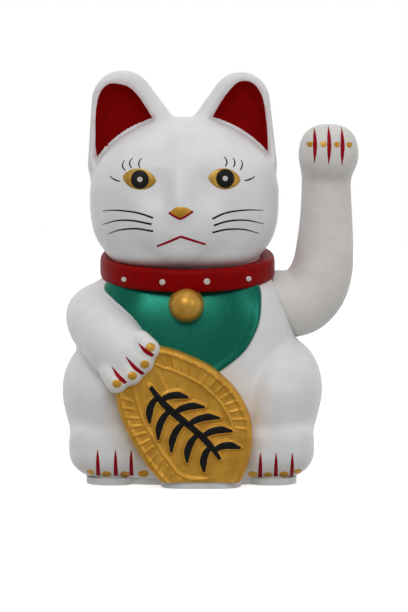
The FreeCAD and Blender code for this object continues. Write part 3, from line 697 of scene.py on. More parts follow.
arm_skin = arm_field()
raised_arm = piece("raised_arm_skin", *arm_skin.surface(), body="arm")
arm_view = Skin([raised_arm], arm_skin)
combine(raised_arm, piece("cutter", *arm_skin.surface(-ARM_WALL, rounds=1)), "DIFFERENCE")
combine(raised_arm, rod(HUB_R, ARM_INNER_X - 9.0, ARM_INNER_X + HUB_DEPTH, PIVOT), "DIFFERENCE")
combine(raised_arm, block((ARM_INNER_X, -60, 0), (120, 60, 250)), "INTERSECT")

# ---------------------------------------------------------------- collar, studs and bell
def ring_band(name, centre, half_w, half_d, squareness, tilt, section, steps=200):
    """A closed band: a section of (outwards, upwards) pairs taken round an oval, tipped about X."""
    points, faces = [], []
    c, s = math.cos(math.radians(tilt)), math.sin(math.radians(tilt))
    for i in range(steps):
        angle = 2 * math.pi * i / steps
        a, b = math.cos(angle), math.sin(angle)
        x = half_w * math.copysign(abs(a) ** (2 / squareness), a)
        y = half_d * math.copysign(abs(b) ** (2 / squareness), b)
        out = np.array([math.copysign(abs(x / half_w) ** (squareness - 1), x) / half_w,
                        math.copysign(abs(y / half_d) ** (squareness - 1), y) / half_d])
        out /= np.linalg.norm(out)
        for outwards, upwards in section:
            px, py = x + out[0] * outwards, y + out[1] * outwards
            points.append((centre[0] + px, centre[1] + c * py - s * upwards, centre[2] + s * py + c * upwards))
    n = len(section)
    for i in range(steps):
        j = (i + 1) % steps
        for k in range(n):
            m = (k + 1) % n
            faces.append((i * n + k, j * n + k, j * n + m, i * n + m))
    return crisp(piece(name, points, faces), 50.0)


COLLAR_CENTRE = (-1.7, -2.0, 90.2)
COLLAR_HALF = (37.0, 35.6)
COLLAR_RISE = 4.7
COLLAR_SECTION = [
    (-7.0, -COLLAR_RISE + 0.9), (-1.6, -COLLAR_RISE), (-0.9, -COLLAR_RISE + 0.15), (-0.4, -COLLAR_RISE + 0.6),
    (-0.1, -COLLAR_RISE + 1.4), (0.0, -1.6), (0.0, 1.6), (-0.15, COLLAR_RISE - 1.6), (-0.5, COLLAR_RISE - 0.7),
    (-1.0, COLLAR_RISE - 0.2), (-1.7, COLLAR_RISE), (-7.0, COLLAR_RISE - 0.6)]
collar = ring_band("collar", COLLAR_CENTRE, *COLLAR_HALF, 2.15, 9.0, COLLAR_SECTION)
collar_view = Skin([collar])


def circle(x, z, radius, squash=1.0, steps=28):
    turn = [2 * math.pi * i / steps for i in range(steps)]
    return [(x + radius * math.cos(a), z + radius * squash * math.sin(a)) for a in turn]


DOME = [(1.0, -0.1), (0.97, 0.45), (0.88, 0.75), (0.7, 0.93), (0.35, 1.0)]


def dome(height):
    return [(share, rise * height) for share, rise in DOME]


STUDS = [(-27.9, 85.2), (-11.8, 84.4), (6.5, 84.7), (23.8, 85.5)]
studs = joined("collar_studs", [
    panel("stud", circle(x, z, 1.4 - 0.012 * abs(x)), dome(0.35), collar_view) for x, z in STUDS])

BELL = (-2.0, -37.3, 75.1)
BELL_R = 6.7
bell_profile = [(0, -BELL_R)]
for step in range(1, 19):
    swing = step / 18 * math.radians(98)
    bell_profile.append((BELL_R * math.sin(swing), -BELL_R * math.cos(swing)))
bell_profile += [(BELL_R + 0.05, 1.9), (BELL_R + 0.4, 2.5), (BELL_R + 0.6, 3.3), (BELL_R + 0.4, 9.0), (0, 9.0)]
bell = crisp(revolved("bell", bell_profile, BELL, 1), 50.0)

# ---------------------------------------------------------------- bib
chest = Field((-60, -56, 20), (60, 52, 104), 1.2)
chest.add(column(TORSO[3:]))
chest_view = Skin([piece("chest", *chest.surface())], chest)
bpy.data.objects.remove(bpy.data.objects["chest"])
BIB = [(-4.4, 87.0), (12.0, 87.0), (21.5, 86.6), (26.3, 85.0), (28.6, 81.4), (29.1, 76.3), (28.5, 69.0),
       (26.5, 62.9), (21.5, 55.0), (11.4, 47.3), (2.0, 43.6), (-10.0, 43.6), (-20.0, 47.3), (-30.0, 55.0),
       (-34.8, 62.9),
       (-36.6, 70.0), (-37.0, 77.0), (-36.0, 82.6), (-32.0, 86.0), (-22.0, 87.0)]
BIB_EDGE = [(1.0, -0.15), (0.996, 0.35), (0.988, 0.8), (0.975, 1.1), (0.955, 1.25), (0.93, 1.2), (0.89, 1.0),
            (0.84, 0.9)]
bib_profile = BIB_EDGE + [(share / 20, 0.9) for share in range(16, 0, -2)]
bib = panel("bib", even_steps(BIB, 150, closed=True), bib_profile, chest_view, sink=0.9)

# ---------------------------------------------------------------- coin
COIN_OUTLINE = [(-12.7, 58.3), (-6.5, 56.8), (0.8, 53.9), (8.0, 50.2), (14.2, 45.1), (18.3, 40.7), (21.9, 34.9),
                (24.3, 29.0), (25.1, 23.1), (24.6, 15.8), (22.8, 8.6), (19.6, 2.0), (14.0, -2.6), (2.0, -4.2),
                (-8.0, -1.4),
                (-16.8, 7.7), (-21.2, 14.3), (-25.4, 21.7), (-28.6, 29.0), (-30.6, 37.0), (-31.0, 44.5),
                (-28.6, 51.5), (-24.0, 56.6), (-18.6, 58.9)]
COIN_CENTRE = np.array([-2.6, 27.6])
COIN_FRONT = -45.6
COIN_BACK = -27.0
COIN_TURN = math.radians(50)       # its long axis runs down to the right
COIN_LONG = np.array([math.cos(COIN_TURN), -math.sin(COIN_TURN)])
COIN_WIDE = np.array([math.sin(COIN_TURN), math.cos(COIN_TURN)])
BORDER_INSET = 8.2
TICK_PITCH = 4.6
FACE_SINK = 0.9


def on_coin(along, wide):
    return COIN_CENTRE + COIN_LONG * along + COIN_WIDE * wide


def sprig():
    """The coin's ornament: a bent stem with pairs of curved leaves; paths and half widths."""
    stem = [on_coin(a, 1.8 * math.sin(a / 9.0)) for a in np.linspace(-20, 21, 9)]
    strokes = [(stem, (1.0, 1.6, 1.7, 1.5, 1.6, 0.7))]
    for k in range(5):
        root = -15.0 + 7.4 * k
        reach = 12.2 - 0.75 * (k - 1.9) ** 2
        bend = 1.8 * math.sin(root / 9.0)
        for side in (-1, 1):
            start = root + (2.0 if side > 0 else 0.0)
            leaf = [on_coin(start + lean, bend + side * out * reach)
                    for out, lean in ((0.0, 0.0), (0.35, 0.6), (0.7, 2.6), (1.0, 6.2))]
            strokes.append((leaf, (1.1, 1.6, 1.7, 0.5)))
    return strokes


def coin_height(spots, inset, along_rim, ticked, bordered):
    """How far the coin's front stands behind its foremost plane."""
    rim = np.clip(1 - inset / 2.2, 0, 1)
    behind = 2.3 * (1 - np.sqrt(np.maximum(1 - rim ** 2, 0)))
    behind = behind + 0.55 * ramp(inset, 2.0, 3.4)
    behind = behind - 0.45 * bordered * np.exp(-((inset - BORDER_INSET) / 0.42) ** 2)
    behind = behind + (FACE_SINK - 0.55) * bordered * ramp(inset, BORDER_INSET + 0.4, BORDER_INSET + 1.6)
    wave = 0.5 + 0.5 * np.cos(2 * math.pi * along_rim / TICK_PITCH)
    band = ramp(inset, 1.6, 2.4) * (1 - ramp(inset, 6.6, 7.4))
    behind = behind - 0.5 * ticked * band * wave ** 6
    for path, widths in sprig():
        row = even_steps(path, 40)
        half = np.interp(np.linspace(0, 1, 40), np.linspace(0, 1, len(widths)), widths)
        gap = np.full(len(spots), 1e9)
        for spot, w in zip(row, half):
            gap = np.minimum(gap, np.linalg.norm(spots - spot, axis=1) - w)
        behind = np.minimum(behind, FACE_SINK - 0.85 * (1 - ramp(gap, 0.15, 0.95)) + 9 * (gap > 1.0))
    return behind


def ramp(value, low, high):
    t = np.clip((value - low) / (high - low), 0, 1)
    return t * t * (3 - 2 * t)


def make_coin(around=560, across=84):
    rim = even_steps(COIN_OUTLINE, around, closed=True)
    spokes = rim - COIN_CENTRE
    length = np.linalg.norm(spokes, axis=1)
    turn = np.roll(rim, -1, axis=0) - np.roll(rim, 1, axis=0)
    outward = np.stack([turn[:, 1], -turn[:, 0]], axis=1)
    outward /= np.linalg.norm(outward, axis=1, keepdims=True)
    outward *= np.sign((outward * spokes).sum(axis=1, keepdims=True))
    square_on = (outward * spokes).sum(axis=1) / length
    side_on = np.abs(outward @ COIN_WIDE)
    ticked, bordered = ramp(side_on, 0.72, 0.84), ramp(side_on, 0.4, 0.65)
    around_mm = np.linalg.norm(np.diff(np.vstack([rim, rim[:1]]), axis=0), axis=1).cumsum()
    around_mm *= round(around_mm[-1] / TICK_PITCH) * TICK_PITCH / around_mm[-1]
    rows, behind = [], []
    for k in range(across):
        share = 1 - (k / across) ** 1.15
        rows.append(COIN_CENTRE + spokes * share)
        inset = (1 - share) * length * square_on
        behind.append(coin_height(rows[-1], inset, around_mm, ticked, bordered))
    points = [(x, COIN_BACK, z) for x, z in rim]
    points += [(x, (COIN_FRONT + COIN_BACK) / 2, z) for x, z in rim]
    for row, depth in zip(rows, behind):
        points += [(x, COIN_FRONT + d, z) for (x, z), d in zip(row, depth)]
    faces = []
    for k in range(across + 1):
        for i in range(around):
            j = (i + 1) % around
            faces.append((k * around + i, k * around + j, (k + 1) * around + j, (k + 1) * around + i))
    front, back = len(points), len(points) + 1
    points += [(COIN_CENTRE[0], y, COIN_CENTRE[1]) for y in (COIN_FRONT + behind[-1].mean(), COIN_BACK)]
    last = (across + 1) * around
    for i in range(around):
        j = (i + 1) % around
        faces.append((last + i, last + j, front))
        faces.append((j, i, back))
    made = piece("coin", points, faces)
    crisp(made, 50.0)
    combine(made, block((-60, -60, FLOOR_OF_SHELLS), (60, 0, 100)), "INTERSECT")
    return crisp(made, 50.0)


coin = make_coin()
coin_view = Skin([coin])
ornament = joined("coin_ornament", [
    stroke("leaf", path, [w * 0.92 for w in widths], coin_view, lift=0.16, sink=0.5)
    for path, widths in sprig()])

# ---------------------------------------------------------------- eyes
EYES = [((-28.2, 127.7), (-14.3, 125.8)), ((7.0, 127.5), (20.3, 126.3))]
EYE_HALF_HEIGHT = 4.3
PUPILS = [(-21.0, 126.6), (14.0, 127.0)]
PUPIL_R = 3.75


def almond(left, right, half_height, steps=64):
    """An eye's outline between its two corners."""
    left, right = np.array(left), np.array(right)
    middle, along = (left + right) / 2, (right - left) / 2
    up = np.array([-along[1], along[0]]) / np.linalg.norm(along)
    outline = []
    for i in range(steps):
        a = 2 * math.pi * i / steps
        t = math.cos(a)
        bulge = math.copysign(abs(math.sin(a)) ** 1.35, math.sin(a)) * (1.0 if math.sin(a) > 0 else 1.02)
        outline.append(middle + along * t + up * half_height * bulge)
    return outline


irises, pupils, glints = [], [], []
for (left, right), spot in zip(EYES, PUPILS):
    irises.append(panel("iris", almond(left, right, EYE_HALF_HEIGHT), dome(0.55), front_view))
    on_iris = Skin(irises[-1:])
    pupils.append(panel("pupil", circle(*spot, PUPIL_R, 1.04, 48), dome(0.3), on_iris, sink=0.4))
    on_pupil = Skin(pupils[-1:])
    glints.append(panel("glint", circle(*spot, 1.1), dome(0.14), on_pupil, sink=0.15))
irises, pupils, glints = joined("irises", irises), joined("pupils", pupils), joined("eye_glints", glints)

# ---------------------------------------------------------------- painted lines and dots
LASHES = [
    [(-27.3, 134.5), (-28.3, 132.4), (-27.1, 130.3)],
    [(-24.0, 135.3), (-25.3, 133.4), (-24.4, 131.3)],
    [(-20.2, 135.3), (-21.5, 133.4), (-21.0, 131.4)],
    [(-33.5, 128.0), (-31.7, 126.6), (-29.2, 125.8)],
    [(13.5, 135.9), (14.7, 133.9), (14.0, 131.9)],
    [(17.2, 135.4), (18.0, 133.5), (17.3, 131.6)],
    [(20.5, 134.6), (21.1, 132.7), (20.1, 130.4)],
    [(26.3, 128.0), (24.7, 126.8), (21.9, 126.1)],
]
WHISKERS = [
    [(-15.6, 110.9), (-19.7, 112.3), (-24.1, 113.3), (-31.7, 113.9), (-36.7, 113.5)],
    [(-16.1, 108.3), (-24.1, 109.7), (-30.7, 109.6), (-36.7, 107.9)],
    [(-15.5, 105.4), (-22.6, 106.4), (-29.7, 105.7), (-34.3, 104.0)],
    [(8.7, 110.5), (14.7, 113.0), (22.7, 114.0), (29.8, 113.8)],
    [(9.3, 107.8), (15.2, 109.5), (22.7, 109.8), (29.9, 108.2)],
    [(8.7, 104.9), (14.7, 106.1), (21.7, 106.0), (28.2, 104.2)],
]
def bowed(start, middle, end):
    """An even arc through three points."""
    a, b, c = np.array(start), np.array(middle), np.array(end)
    return [a * (1 - t) * (1 - 2 * t) + 4 * b * t * (1 - t) + c * t * (2 * t - 1) for t in np.linspace(0, 1, 9)]


lines = [stroke("lash", bowed(*path), (0.16, 0.34, 0.24), front_view, 0.1) for path in LASHES]
lines += [stroke("whisker", path, (0.42, 0.38, 0.31, 0.14), front_view, 0.1) for path in WHISKERS]
face_lines = joined("lashes_and_whiskers", lines)

NOSE_LINE = [(-9.1, 113.1), (-6.8, 111.7), (-4.4, 110.5), (-2.0, 111.8), (0.8, 113.6)]
NOSE = [(-8.6, 113.0), (-7.3, 114.6), (-5.4, 115.4), (-2.9, 115.4), (-1.0, 114.8), (0.4, 113.5),
        (-2.0, 112.0), (-4.4, 110.8), (-6.8, 112.0)]
MOUTH = [(-14.0, 99.2), (-9.0, 101.2), (-4.2, 103.3), (1.0, 101.6), (6.0, 100.0)]
nose = panel("nose", even_steps(NOSE, 48, closed=True), dome(0.16), front_view)


def bent(path):
    """A path's two straight arms, so that its corner stays sharp."""
    half = len(path) // 2
    return path[:half + 1], path[half:]


red_lines = []
for path, widths in ((NOSE_LINE, (0.5, 0.6, 0.6)), (MOUTH, (0.44, 0.54, 0.54))):
    first, second = bent(path)
    red_lines.append(stroke("lip", first, widths, front_view, 0.12))
    red_lines.append(stroke("lip", second, widths[::-1], front_view, 0.12))
mouth = joined("nose_and_mouth_lines", red_lines)

CLAW_WIDTHS = (0.12, 0.55, 0.9, 0.95, 0.75)
HAND_CLAWS = [[(-32.2, 50.4), (-29.6, 46.9), (-26.5, 44.0)], [(-26.5, 54.6), (-23.2, 50.6), (-19.4, 47.5)],
              [(-21.4, 60.1), (-18.6, 57.2), (-15.4, 55.1)]]
HAND_DOTS = [(-30.1, 43.7), (-23.8, 46.9), (-18.8, 51.6), (-16.4, 58.6)]
# Foot claws: x, upper end, lower end. Foot dots: x, z, size.
FOOT_CLAWS = [(-38.5, 15.3, 4.1), (-31.15, 15.3, 4.1), (-24.75, 15.2, 4.0),
              (28.55, 14.1, 3.3), (35.0, 14.1, 3.3), (41.7, 14.0, 3.4)]
FOOT_DOTS = [(-41.7, 5.1, 1.4), (-35.1, 4.4, 1.7), (-27.4, 4.2, 1.7), (-19.8, 4.4, 1.9),
             (25.5, 4.2, 1.7), (31.8, 4.1, 1.5), (38.5, 4.2, 1.7), (44.2, 5.3, 1.4)]
FOOT_CLAW_WIDTHS = (0.15, 0.55, 0.75, 0.85, 0.9)
PAW_CLAW_WIDTHS = (0.1, 0.75, 1.0, 0.75, 0.1)
CLAW_LIFT = 0.12
# One paw dot about its own place: a half disc, round side down.
PAW_DOT = [(-1.2, 0.8), (-1.15, -0.4), (-0.7, -1.1), (0.0, -1.35), (0.7, -1.1),
           (1.15, -0.4), (1.2, 0.8), (0.6, 0.95), (0.0, 1.0), (-0.6, 0.95)]


def upright(x, top, low, lean=0.0):
    """A claw's path straight down, bowed sideways by lean at its middle."""
    return [(x, top), (x + lean, (top + low) / 2), (x, low)]


claws = [stroke("claw", path, CLAW_WIDTHS, front_view, CLAW_LIFT) for path in HAND_CLAWS]
claws += [stroke("claw", upright(*claw), FOOT_CLAW_WIDTHS, front_view, CLAW_LIFT) for claw in FOOT_CLAWS]
claws = joined("claw_strokes", claws)
dots = [panel("dot", circle(x, z, 1.9, 0.9), dome(0.2), front_view) for x, z in HAND_DOTS]
dots += [panel("dot", circle(x, z + 0.4, 1.2 * r, 0.7), dome(0.16), front_view) for x, z, r in FOOT_DOTS]
dots = joined("toe_dots", dots)
paw_claws = joined("paw_claw_strokes", [
    stroke("claw", upright(*claw), PAW_CLAW_WIDTHS, arm_view, CLAW_LIFT, body="arm") for claw in PAW_CLAWS])
paw_dots = []
for x, z in PAW_DOTS:
    half_disc = even_steps([(x + dx, z + dz) for dx, dz in PAW_DOT], 32, closed=True)
    paw_dots.append(panel("dot", half_disc, dome(0.14), arm_view, body="arm"))
paw_dots = joined("paw_toe_dots", paw_dots)

# ---------------------------------------------------------------- red ear linings
def lining(corners, offset, outline):
    """Paint in the hollow of an ear; its lower end is hidden behind the forehead."""
    xs, zs = zip(*corners)
    reach = offset + 3
    grid = Field((min(xs) - reach, -12, min(zs) - reach), (max(xs) + reach, 12, max(zs) + reach), 0.8)
    grid.add(ear(corners, offset))
    grid.carve(ear_dish(outline), 1.2)
    hollow = piece("hollow", *grid.surface())
    view = Skin([hollow], grid)
    bpy.data.objects.remove(hollow)
    profile = [(1.0, -0.06), (0.995, 0.05), (0.985, 0.09)] + [(1 - 0.045 * k, 0.09) for k in range(1, 21)]
    return panel("ear_lining", even_steps(outline, 110, closed=True), profile, view, sink=0.3)


linings = joined("ear_linings", [lining(*form, outline) for form, outline in zip(EARS, EAR_LININGS)])


# ---------------------------------------------------------------- numbers the paint reads
def paint_marks(made, field):
    """Marks for the paint: painted shade with dust in the creases, gold mist by the coin and toes, red mist by the
    collar and ears.
    """
    points, normals = points_of(made), normals_of(made)
    outside = np.abs(field.at(points)) < 0.3
    # Painted shade: where the skin 3.2 mm out along its normal nears other surfaces, this mark darkens it,
    # standing in for occlusion shade along with dust.
    crease_shade_and_dust = np.clip(1 - field.at(points + 3.2 * normals) / 3.2, 0, 1) * outside
    shade_by(made, "crease_shade_and_dust", np.clip(crease_shade_and_dust * 1.6 - 0.12, 0, 1))
    rim = even_steps(COIN_OUTLINE, 120, closed=True)
    gold_path = [(x, COIN_FRONT + 8.0, z) for x, z in rim]
    gold_path += [(x, -48.0, z) for x, z in HAND_DOTS] + [(x, -33.5, z) for x, z, _ in FOOT_DOTS]
    shade_by(made, "gold_mist", near_path(points, gold_path, 9.5) * outside)
    turns = [2 * math.pi * k / 90 for k in range(90)]
    red_path = [(COLLAR_CENTRE[0] + 36.5 * math.cos(a), COLLAR_CENTRE[1] + 35.5 * math.sin(a),
                 COLLAR_CENTRE[2] + side * 4.6 + 5.5 * math.sin(a)) for a in turns for side in (-1, 1)]
    red_path += [(x, -5.5, z) for outline in EAR_LININGS for x, z in even_steps(outline, 60, closed=True)]
    shade_by(made, "red_mist", near_path(points, red_path, 4.0) * outside)


for half in (front_shell, rear_shell):
    crisp(half)
    paint_marks(half, skin_field)
crisp(raised_arm)
arm_points = points_of(raised_arm)
# No painted crease shade on the raised arm.
shade_by(raised_arm, "crease_shade_and_dust", np.zeros(len(arm_points)))
shade_by(raised_arm, "gold_mist", np.zeros(len(arm_points)))
elbow = near_path(arm_points, [(44.0, y, 93.0) for y in (-10, 0, 10)], 13.0)
shade_by(raised_arm, "red_mist", 0.6 * elbow)


# ---------------------------------------------------------------- materials
class Paint:
    """A material whose colour, roughness and bump come from procedural patterns."""

    def __init__(self, name, rough, metal=0.0, **sockets):
        self.material = bpy.data.materials.new(name)
        self.material.use_nodes = True
        self.nodes = self.material.node_tree.nodes
        self.links = self.material.node_tree.links
        self.shader = self.nodes["Principled BSDF"]
        self.shader.inputs["Metallic"].default_value = metal
        for socket, value in sockets.items():
            self.shader.inputs[socket.replace("_", " ")].default_value = value
        self.place = self.nodes.new("ShaderNodeTexCoord").outputs["Object"]
        uneven = self.spread(self.noise(700.0, 3.0), 0.3, 0.7, rough * 0.86, rough * 1.14)
        self.link(uneven, self.shader.inputs["Roughness"])

    def link(self, start, end):
        self.links.new(start, end)

    def noise(self, scale, detail=2.0, stretch=(1.0, 1.0, 1.0)):
        place = self.place
        if stretch != (1.0, 1.0, 1.0):
            mapping = self.nodes.new("ShaderNodeMapping")
            mapping.inputs["Scale"].default_value = stretch
            self.link(place, mapping.inputs["Vector"])
            place = mapping.outputs["Vector"]
        node = self.nodes.new("ShaderNodeTexNoise")
        node.inputs["Scale"].default_value = scale
        node.inputs["Detail"].default_value = detail
        self.link(place, node.inputs["Vector"])
        return node.outputs["Fac"]

    def spread(self, value, low, high, to_low, to_high):
        node = self.nodes.new("ShaderNodeMapRange")
        for socket, number in zip(("From Min", "From Max", "To Min", "To Max"), (low, high, to_low, to_high)):
            node.inputs[socket].default_value = number
        self.link(value, node.inputs["Value"])
        return node.outputs["Result"]

    def times(self, a, b):
        node = self.nodes.new("ShaderNodeMath")
        node.operation = "MULTIPLY"
        self.link(a, node.inputs[0])
        self.link(b, node.inputs[1])
        return node.outputs["Value"]

    def mark(self, name):
        node = self.nodes.new("ShaderNodeAttribute")
        node.attribute_name = name
        return node.outputs["Fac"]

    def mix(self, factor, base, over):
        """Colour over laid on base by factor; either may be a constant or a socket."""
        node = self.nodes.new("ShaderNodeMix")
        node.data_type = "RGBA"
        self.link(factor, node.inputs["Factor"])
        for socket, colour in ((node.inputs[6], base), (node.inputs[7], over)):
            if isinstance(colour, tuple):
                socket.default_value = (*colour, 1.0)
            else:
                self.link(colour, socket)
        return node.outputs[2]

    def colour(self, socket):
        self.link(socket, self.shader.inputs["Base Color"])
        return self

    def bump(self, value, strength, depth_mm=0.1):
        node = self.nodes.new("ShaderNodeBump")
        node.inputs["Strength"].default_value = strength
        node.inputs["Distance"].default_value = depth_mm * MM
        self.link(value, node.inputs["Height"])
        self.link(node.outputs["Normal"], self.shader.inputs["Normal"])
        return self


def mottled(name, light, dark, rough, metal=0.0, blotch=260.0, grain=2600.0, bump=0.12, depth=0.05,
            stretch=(1.0, 1.0, 1.0), **sockets):
    """One finish in two near tones, with a fine grain."""
    paint = Paint(name, rough, metal, **sockets)
    blotches = paint.spread(paint.noise(blotch, 4.0, stretch), 0.35, 0.65, 0.0, 1.0)
    paint.colour(paint.mix(blotches, light, dark))
    return paint.bump(paint.noise(grain, 2.0, stretch), bump, depth).material


def white_paint(name, light, dark, rough):
    """White with painted shade and dust darkening the creases, and a mist of gold and red beside the painted
    parts.
    """
    paint = Paint(name, rough, 0.0, Specular_IOR_Level=0.42)
    blotches = paint.spread(paint.noise(130.0, 5.0), 0.35, 0.65, 0.0, 1.0)
    colour = paint.mix(blotches, light, dark)
    speck = paint.spread(paint.noise(420.0, 6.0), 0.42, 0.7, 0.25, 1.0)
    # The crease layer is painted shade with dust: grey-brown laid over the white in creases and recesses.
    layers = (("gold_mist", (0.62, 0.44, 0.17), 0.42), ("red_mist", (0.62, 0.16, 0.12), 0.34),
              ("crease_shade_and_dust", (0.36, 0.33, 0.30), 0.55))
    for mark, tone, most in layers:
        amount = paint.times(paint.spread(paint.mark(mark), 0.25, 1.0, 0.0, most), speck)
        colour = paint.mix(amount, colour, tone)
    return paint.colour(colour).bump(paint.noise(1500.0, 3.0), 0.12, 0.06).material


WHITE = white_paint("white_paint", (0.80, 0.80, 0.805), (0.755, 0.755, 0.76), 0.40)
ARM_WHITE = white_paint("arm_white", (0.74, 0.715, 0.69), (0.69, 0.665, 0.64), 0.5)
RED = mottled("red_paint", (0.29, 0.0006, 0.001), (0.23, 0.0005, 0.001), 0.42, blotch=350.0,
              Specular_IOR_Level=0.06)
EAR_RED = mottled("ear_red", (0.235, 0.0005, 0.001), (0.185, 0.0004, 0.001), 0.6, blotch=300.0,
                  Specular_IOR_Level=0.03)
LINE_RED = mottled("line_red", (0.34, 0.002, 0.010), (0.28, 0.001, 0.008), 0.5, blotch=500.0,
                   Specular_IOR_Level=0.08)
GREEN = mottled("green_metallic", (0.002, 0.175, 0.112), (0.0015, 0.145, 0.093), 0.28, 0.7, blotch=900.0,
                grain=4200.0, bump=0.1)
BELL_GOLD = mottled("bell_gold", (0.68, 0.375, 0.055), (0.58, 0.30, 0.035), 0.36, 0.5, blotch=200.0,
                    grain=3600.0)
GOLD = mottled("gold_paint", (0.70, 0.365, 0.042), (0.56, 0.27, 0.024), 0.46, 0.55, blotch=170.0,
               grain=3600.0, bump=0.25)
IRIS = mottled("iris_gold", (0.60, 0.36, 0.055), (0.40, 0.20, 0.02), 0.42, 0.5, blotch=120.0)
BLACK = mottled("black_paint", (0.0035, 0.0035, 0.004), (0.007, 0.0065, 0.0065), 0.4, blotch=500.0,
                Specular_IOR_Level=0.2)
PALE = mottled("pale_paint", (0.68, 0.64, 0.60), (0.55, 0.50, 0.46), 0.5, blotch=700.0)

# The other slots: light tone, dark tone, roughness, metal, and what else differs from mottled's usual.
SLOT_TONES = {
    "base_plastic": ((0.70, 0.71, 0.70), (0.62, 0.63, 0.62), 0.55, 0.0,
                     {"blotch": 200.0, "grain": 1700.0, "bump": 0.3}),
    "nylon": ((0.78, 0.76, 0.69), (0.72, 0.69, 0.62), 0.45, 0.0, {"blotch": 240.0}),
    "green_board": ((0.02, 0.16, 0.06), (0.012, 0.11, 0.04), 0.35, 0.0,
                    {"blotch": 900.0, "stretch": (1.0, 6.0, 1.0)}),
    "black_plastic": ((0.012, 0.012, 0.013), (0.02, 0.02, 0.02), 0.5, 0.0, {"blotch": 500.0}),
    "screw_steel": ((0.60, 0.59, 0.56), (0.46, 0.45, 0.43), 0.32, 1.0, {"blotch": 900.0}),
    "shaft_steel": ((0.62, 0.63, 0.64), (0.50, 0.51, 0.52), 0.24, 1.0,
                    {"blotch": 900.0, "stretch": (0.06, 1.0, 1.0)}),
    "weight_steel": ((0.22, 0.21, 0.20), (0.14, 0.13, 0.125), 0.55, 0.9, {"blotch": 420.0, "bump": 0.4}),
    "magnet_plating": ((0.66, 0.66, 0.68), (0.56, 0.56, 0.58), 0.16, 1.0, {"blotch": 300.0}),
    "contact_steel": ((0.68, 0.66, 0.61), (0.55, 0.53, 0.48), 0.26, 1.0, {"blotch": 800.0}),
    "copper_wire": ((0.62, 0.24, 0.09), (0.40, 0.13, 0.04), 0.35, 0.9,
                    {"blotch": 2600.0, "stretch": (0.1, 0.1, 3.0)}),
    "cell_jacket": ((0.03, 0.10, 0.28), (0.02, 0.07, 0.2), 0.3, 0.2,
                    {"blotch": 200.0, "stretch": (0.2, 1.0, 1.0)}),
    "red_wire": ((0.42, 0.01, 0.008), (0.34, 0.008, 0.006), 0.45, 0.0, {"blotch": 800.0}),
    "black_wire": ((0.012, 0.012, 0.012), (0.02, 0.02, 0.02), 0.45, 0.0, {"blotch": 800.0}),
    "resistor_body": ((0.56, 0.38, 0.18), (0.48, 0.31, 0.14), 0.4, 0.0, {"blotch": 900.0}),
}
FINISHES = {"white_plastic": WHITE, "arm_plastic": ARM_WHITE}
for slot, (*tones, rest) in SLOT_TONES.items():
    FINISHES[slot] = mottled(slot, *tones, **rest)

DRESSED = [
    (front_shell, WHITE, "white_plastic"), (rear_shell, WHITE, "white_plastic"),
    (raised_arm, ARM_WHITE, "arm_plastic"),
    (collar, RED, "white_plastic"), (studs, PALE, "white_plastic"), (bell, BELL_GOLD, "white_plastic"),
    (bib, GREEN, "white_plastic"), (coin, GOLD, "white_plastic"), (ornament, BLACK, "white_plastic"),
    (irises, IRIS, "white_plastic"), (pupils, BLACK, "white_plastic"), (glints, PALE, "white_plastic"),
    (face_lines, BLACK, "white_plastic"), (nose, GOLD, "white_plastic"), (mouth, LINE_RED, "white_plastic"),
    (claws, LINE_RED, "white_plastic"), (dots, GOLD, "white_plastic"), (linings, EAR_RED, "white_plastic"),
    (paw_claws, LINE_RED, "arm_plastic"), (paw_dots, GOLD, "arm_plastic"),
]
for made, finish, slot in DRESSED:
    made.data.materials.clear()
    made.data.materials.append(finish)
    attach(made, made["body_name"])

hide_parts("front_shell")
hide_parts("rear_shell")
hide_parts("raised_arm")
for part in frame["record"]["subparts"]:
    carried = frame["nodes"][part["node"]]
    carried.data.materials.clear()
    carried.data.materials.append(FINISHES[part["material_slot"]])

# ---------------------------------------------------------------- stage, light and camera
def stage_floor():
    bpy.ops.mesh.primitive_plane_add(size=1.0)
    floor = bpy.context.object
    floor.name = "floor"
    floor.scale = (6.0, 6.0, 1.0)
    floor.location = (0.0, 0.0, -0.0002)
    cover = bpy.data.materials.new("floor_paper")
    cover.use_nodes = True
    shader = cover.node_tree.nodes["Principled BSDF"]
    shader.inputs["Base Color"].default_value = (0.93, 0.93, 0.93, 1.0)
    shader.inputs["Roughness"].default_value = 0.9
    shader.inputs["Specular IOR Level"].default_value = 0.1
    shader.inputs["Emission Color"].default_value = (1.0, 1.0, 1.0, 1.0)
    shader.inputs["Emission Strength"].default_value = 0.62
    floor.data.materials.append(cover)
    floor.visible_diffuse = False
    floor.visible_glossy = False


def soft_light(name, place, aim, size, power):
    light = bpy.data.lights.new(name, "AREA")
    light.shape = "RECTANGLE"
    light.size, light.size_y = size
    light.energy = power
    lamp = bpy.data.objects.new(name, light)
    bpy.context.scene.collection.objects.link(lamp)
    lamp.location = place
    lamp.rotation_euler = (Vector(aim) - Vector(place)).to_track_quat("-Z", "Y").to_euler()


stage_floor()
soft_light("key", (-0.25, -1.15, 0.95), (0.0, 0.0, 0.09), (0.9, 0.7), 6.0)
soft_light("fill", (0.95, -0.85, 0.5), (0.0, 0.0, 0.09), (0.5, 0.8), 2.0)
soft_light("top", (0.0, -0.1, 1.3), (0.0, 0.0, 0.08), (0.8, 0.8), 1.5)


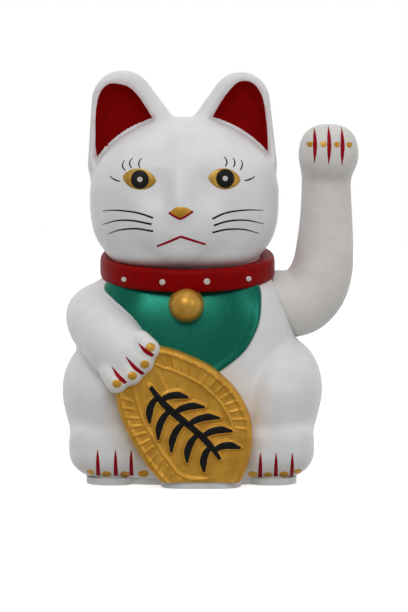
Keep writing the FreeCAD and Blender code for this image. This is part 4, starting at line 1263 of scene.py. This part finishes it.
def studio_world():
    """White to look at; as a light it is dimmer, strongest from behind and weakest from below."""
    world = bpy.data.worlds.new("studio")
    bpy.context.scene.world = world
    world.use_nodes = True
    nodes, links = world.node_tree.nodes, world.node_tree.links
    place = nodes.new("ShaderNodeTexCoord")
    split = nodes.new("ShaderNodeSeparateXYZ")
    links.new(place.outputs["Generated"], split.inputs["Vector"])
    height = nodes.new("ShaderNodeMapRange")
    for socket, number in zip(("From Min", "From Max", "To Min", "To Max"), (-0.6, 0.8, 0.32, 0.42)):
        height.inputs[socket].default_value = number
    links.new(split.outputs["Z"], height.inputs["Value"])
    depth = nodes.new("ShaderNodeMapRange")
    for socket, number in zip(("From Min", "From Max", "To Min", "To Max"), (-0.4, 1.0, 0.0, 0.6)):
        depth.inputs[socket].default_value = number
    links.new(split.outputs["Y"], depth.inputs["Value"])
    total = nodes.new("ShaderNodeMath")
    links.new(height.outputs["Result"], total.inputs[0])
    links.new(depth.outputs["Result"], total.inputs[1])
    glow = nodes["Background"]
    links.new(total.outputs["Value"], glow.inputs["Strength"])
    glow.inputs["Color"].default_value = (1.0, 1.0, 1.0, 1.0)
    plain = nodes.new("ShaderNodeBackground")
    plain.inputs["Color"].default_value = (1.0, 1.0, 1.0, 1.0)
    ray = nodes.new("ShaderNodeLightPath")
    choose = nodes.new("ShaderNodeMixShader")
    links.new(ray.outputs["Is Camera Ray"], choose.inputs["Fac"])
    links.new(glow.outputs["Background"], choose.inputs[1])
    links.new(plain.outputs["Background"], choose.inputs[2])
    links.new(choose.outputs["Shader"], nodes["World Output"].inputs["Surface"])


studio_world()

VIEW_DISTANCE = 1.1
VIEW_RISE = math.radians(3.2)
VIEW_TARGET = Vector((0.0053, 0.0, 0.0726))
camera = bpy.data.objects.new("camera", bpy.data.cameras.new("camera"))
bpy.context.scene.collection.objects.link(camera)
camera.location = VIEW_TARGET + VIEW_DISTANCE * Vector((0.0, -math.cos(VIEW_RISE), math.sin(VIEW_RISE)))
camera.rotation_euler = (VIEW_TARGET - camera.location).to_track_quat("-Z", "Y").to_euler()
camera.data.lens = 152.2
camera.data.sensor_width = 36.0
camera.data.clip_start = 0.01
bpy.context.scene.camera = camera
bpy.context.scene.view_settings.view_transform = "Standard"
